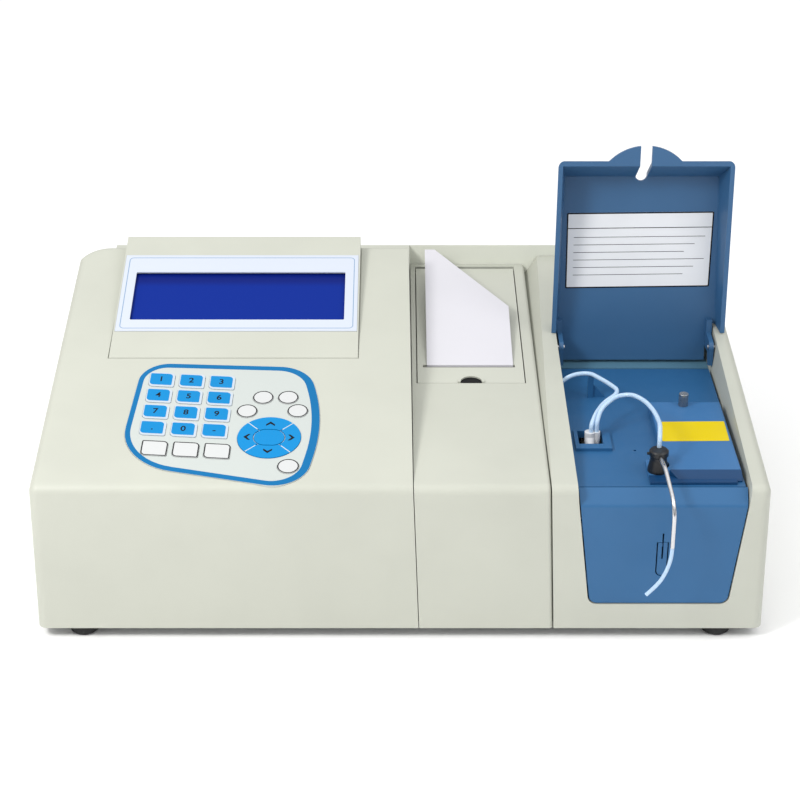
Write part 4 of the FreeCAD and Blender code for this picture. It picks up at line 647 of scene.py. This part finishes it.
for body, (share_x, share_y, radius) in zip(round_keys, round_places):
    x, y = RING_MIDDLE[0] + RING_RADIUS * share_x, RING_MIDDLE[1] + RING_RADIUS * share_y
    ring(body + "_line", circle(x, y, radius - ROUND_INSET), circle(x, y, radius - ROUND_INSET - KEY_LINE),
         KEY_TOP + PRINT_LOW, KEY_TOP + PRINT_HIGH, pad_plane, body, dark_ink)
print("key lines drawn:", len(plain_keys) + len(round_keys))

# %% Draw the chevrons
CHEVRON_PLACE, CHEVRON_SIDE_SHIFT, CHEVRON_HALF, CHEVRON_WEIGHT = 14.0, 0.6, 2.8, 1.5
CHEVRON_DEPTH = CHEVRON_HALF * 0.5
CHEVRON_TIP = CHEVRON_WEIGHT * 1.4
for turn, body in enumerate(arrow_keys):
    if turn % 2:
        place_on = CHEVRON_PLACE
    else:
        place_on = CHEVRON_PLACE + CHEVRON_SIDE_SHIFT
    tip_x = place_on + CHEVRON_DEPTH
    back_x = place_on - CHEVRON_DEPTH
    shape = [(tip_x, 0), (back_x, CHEVRON_HALF), (back_x - CHEVRON_WEIGHT, CHEVRON_HALF),
             (tip_x - CHEVRON_TIP, 0), (back_x - CHEVRON_WEIGHT, -CHEVRON_HALF),
             (back_x, -CHEVRON_HALF)]
    angle = math.radians(90 * turn)
    points = [Vector((RING_MIDDLE[0] + x * math.cos(angle) - y * math.sin(angle),
                      RING_MIDDLE[1] + x * math.sin(angle) + y * math.cos(angle))) for x, y in shape]
    plate(f"chevron_{body}", points, KEY_TOP + PRINT_LOW, KEY_TOP + PRINT_HIGH, pad_plane, body,
          dark_ink)
print("chevrons drawn:", len(arrow_keys))

# %% Draw the pale lines between the arrow keys
rib_pale = ink("rib_pale", (190, 200, 206))
RIB_HALF, RIB_START, RIB_END, RIB_SINK = 0.3, 11.2, 19.6, 0.02
for turn in range(4):
    along = Vector((math.cos(math.radians(45 + 90 * turn)), math.sin(math.radians(45 + 90 * turn))))
    across = Vector((-along.y, along.x)) * RIB_HALF
    middle = Vector(RING_MIDDLE)
    points = [middle + along * RIB_START - across, middle + along * RIB_END - across,
              middle + along * RIB_END + across, middle + along * RIB_START + across]
    plate(f"arrow_rib_{turn + 1}", points, PAD_TOP, KEY_TOP - RIB_SINK, pad_plane, "case",
          rib_pale)
print("pale lines drawn:", 4)

# %% [markdown]
# ## The printer cover's finger notch
# A half-round notch with a raised lip lets a finger lift the printer's cover, and the pocket under it lies in
# shade.
# The CAD's cover has a shallow notch there. A thin dark half-disc is the pocket's painted shadow across its
# full width, and a low half-ring is the lip. Both ride with the cover.

# %% Draw the notch
COVER_SLOPE, COVER_TOP, COVER_FRONT = 4.25, 107.8, 126.0
NOTCH_RADIUS, LIP_WIDTH, LIP_HEIGHT = 7.1, 1.7, 1.1
cover_plane = Matrix.Translation(at(0, 0, COVER_TOP)) @ Matrix.Rotation(math.radians(COVER_SLOPE), 4, "X")
cover_low, cover_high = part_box("printer_cover")
notch_x = (cover_low.x + cover_high.x) / 2 * 1000
notch_y = COVER_FRONT / math.cos(math.radians(COVER_SLOPE))


def half_circle(radius, steps=24):
    return [Vector((notch_x + radius * math.cos(math.pi * i / steps),
                    notch_y + radius * math.sin(math.pi * i / steps))) for i in range(steps + 1)]


# Painted shadow: a dark half-disc on the cover where the pocket under the notch lies in shade.
plate("notch_pocket_painted_shadow", half_circle(NOTCH_RADIUS), PRINT_LOW, PRINT_HIGH, cover_plane, "printer_cover",
      dark_ink)
lip = half_circle(NOTCH_RADIUS + LIP_WIDTH) + list(reversed(half_circle(NOTCH_RADIUS)))
plate("notch_lip", lip, PRINT_LOW, LIP_HEIGHT, cover_plane, "printer_cover", pale_cream)
print("notch drawn at x", round(notch_x, 1))

# %% [markdown]
# ## The plate on the lamp cover and the card in the lid
# The yellow plate is a plain sticker. The card inside the lid is white with a black line at its edge, a line
# below its head and plain rules. Both lie flat on their surface, and the card rides with the lid.

# %% Place the yellow plate
flat = Matrix.Translation(at(0, 0, 0))
yellow = ink("plate_yellow", (212, 188, 0), 0.35)
LAMP_TOP, PLATE_THICKNESS, PLATE_RADIUS = 109.0, 0.1, 0.8
plate_corners = [(165.2, 58.9), (207.5, 59.6), (207.9, 86.5), (166.3, 85.8)]
plate("yellow_plate", outline(plate_corners, [PLATE_RADIUS] * 4), LAMP_TOP + PRINT_LOW,
      LAMP_TOP + PLATE_THICKNESS, flat, "case", yellow)
print("yellow plate placed")

# %% Place the card
LID_OPEN, HINGE_Y, HINGE_Z = 97, 178, 119
hinge = at(0, HINGE_Y, HINGE_Z)
lid_plane = Matrix.Translation(hinge) @ Matrix.Rotation(math.radians(-LID_OPEN), 4, "X")
card_white = ink("card_white", (222, 224, 228), 0.45)
CARD_FACE, CARD_BACK, CARD_LINE, RULES = 18.0, 17.85, 0.9, 6
INK_BACK, INK_FACE = CARD_FACE - 0.2, CARD_FACE - 0.16
card_corners = [(112.7, -89.1), (211.8, -90.2), (210.8, -37.6), (112.7, -36.3)]
plate("lid_card", outline(card_corners, [1.0] * 4), CARD_BACK, CARD_FACE - PRINT_LOW, lid_plane, "lid",
      card_white)
inner = [(x + CARD_LINE * (1 if x < 160 else -1), y + CARD_LINE * (1 if y < -60 else -1))
         for x, y in card_corners]
ring("lid_card_line", outline(card_corners, [1.0] * 4), outline(inner, [0.5] * 4), INK_BACK, INK_FACE,
     lid_plane, "lid", dark_ink)


def card_point(across, down):
    # A place on the card by its shares across and down, as it is seen with the lid open.
    left = Vector(card_corners[0]).lerp(Vector(card_corners[3]), down)
    right = Vector(card_corners[1]).lerp(Vector(card_corners[2]), down)
    return left.lerp(right, across)


def card_rule(name, start, end, down, width):
    first, last = card_point(start, down), card_point(end, down)
    points = [first, last, last + Vector((0, width)), first + Vector((0, width))]
    plate(name, points, INK_BACK, INK_FACE, lid_plane, "lid", dark_ink)


HEAD_DOWN, HEAD_WEIGHT, HEAD_INSET = 0.2, 0.5, 0.004
RULE_DOWN, RULE_PITCH, RULE_WEIGHT, RULE_INSET, RULE_RAG = 0.32, 0.1, 0.35, 0.05, 0.07
card_rule("lid_card_head", HEAD_INSET, 1 - HEAD_INSET, HEAD_DOWN, HEAD_WEIGHT)
for i in range(RULES):
    card_rule(f"lid_card_rule_{i + 1}", RULE_INSET, 1 - RULE_INSET - RULE_RAG * (i % 3),
              RULE_DOWN + i * RULE_PITCH, RULE_WEIGHT)
print("card placed with", RULES, "rules")

# %% [markdown]
# ## Floor and light
# The photograph is a product shot on white: soft light from all round, brighter from above, and one lamp
# at the front left that throws the probe's soft shadow to the right. A pale floor, a surrounding that
# brightens upwards and two lamps give that.

# %% Set the floor and the lights
floor_mesh = bpy.data.meshes.new("floor")
floor_mesh.from_pydata([(-6, -6, 0), (6, -6, 0), (6, 6, 0), (-6, 6, 0)], [], [(0, 1, 2, 3)])
floor = bpy.data.objects.new("floor", floor_mesh)
bpy.context.scene.collection.objects.link(floor)
floor_material, _, floor_shader = new_material("floor_pale")
floor_shader.inputs["Base Color"].default_value = (0.96, 0.96, 0.96, 1)
floor_shader.inputs["Roughness"].default_value = 0.9
floor_mesh.materials.append(floor_material)

world = bpy.data.worlds.new("world")
bpy.context.scene.world = world
world.use_nodes = True
sky = world.node_tree
surround = sky.nodes["Background"]
surround.inputs["Color"].default_value = (1.0, 1.0, 1.0, 1)
direction = sky.nodes.new("ShaderNodeTexCoord")
split = sky.nodes.new("ShaderNodeSeparateXYZ")
rise = sky.nodes.new("ShaderNodeMapRange")
rise.inputs["To Min"].default_value = 0.2
rise.inputs["To Max"].default_value = 1.4
sky.links.new(direction.outputs["Generated"], split.inputs["Vector"])
sky.links.new(split.outputs["Z"], rise.inputs["Value"])
sky.links.new(rise.outputs["Result"], surround.inputs["Strength"])


def lamp(name, place, aim, size, energy, colour):
    data = bpy.data.lights.new(name, "AREA")
    data.shape = "DISK"
    data.size = size
    data.energy = energy
    data.color = colour
    light = bpy.data.objects.new(name, data)
    light.location = place
    light.rotation_euler = (Vector(aim) - Vector(place)).to_track_quat("-Z", "Y").to_euler()
    bpy.context.scene.collection.objects.link(light)


AIM = (0, 0, 0.1)
lamp("key_light", place=(-0.68, -0.68, 0.97), aim=AIM, size=0.35, energy=9, colour=(1.0, 0.99, 0.97))
lamp("fill_light", place=(1.2, -0.9, 1.3), aim=AIM, size=1.2, energy=6, colour=(0.97, 0.98, 1.0))
bpy.context.scene.view_settings.view_transform = "Standard"
print("floor and", 2, "lamps set")
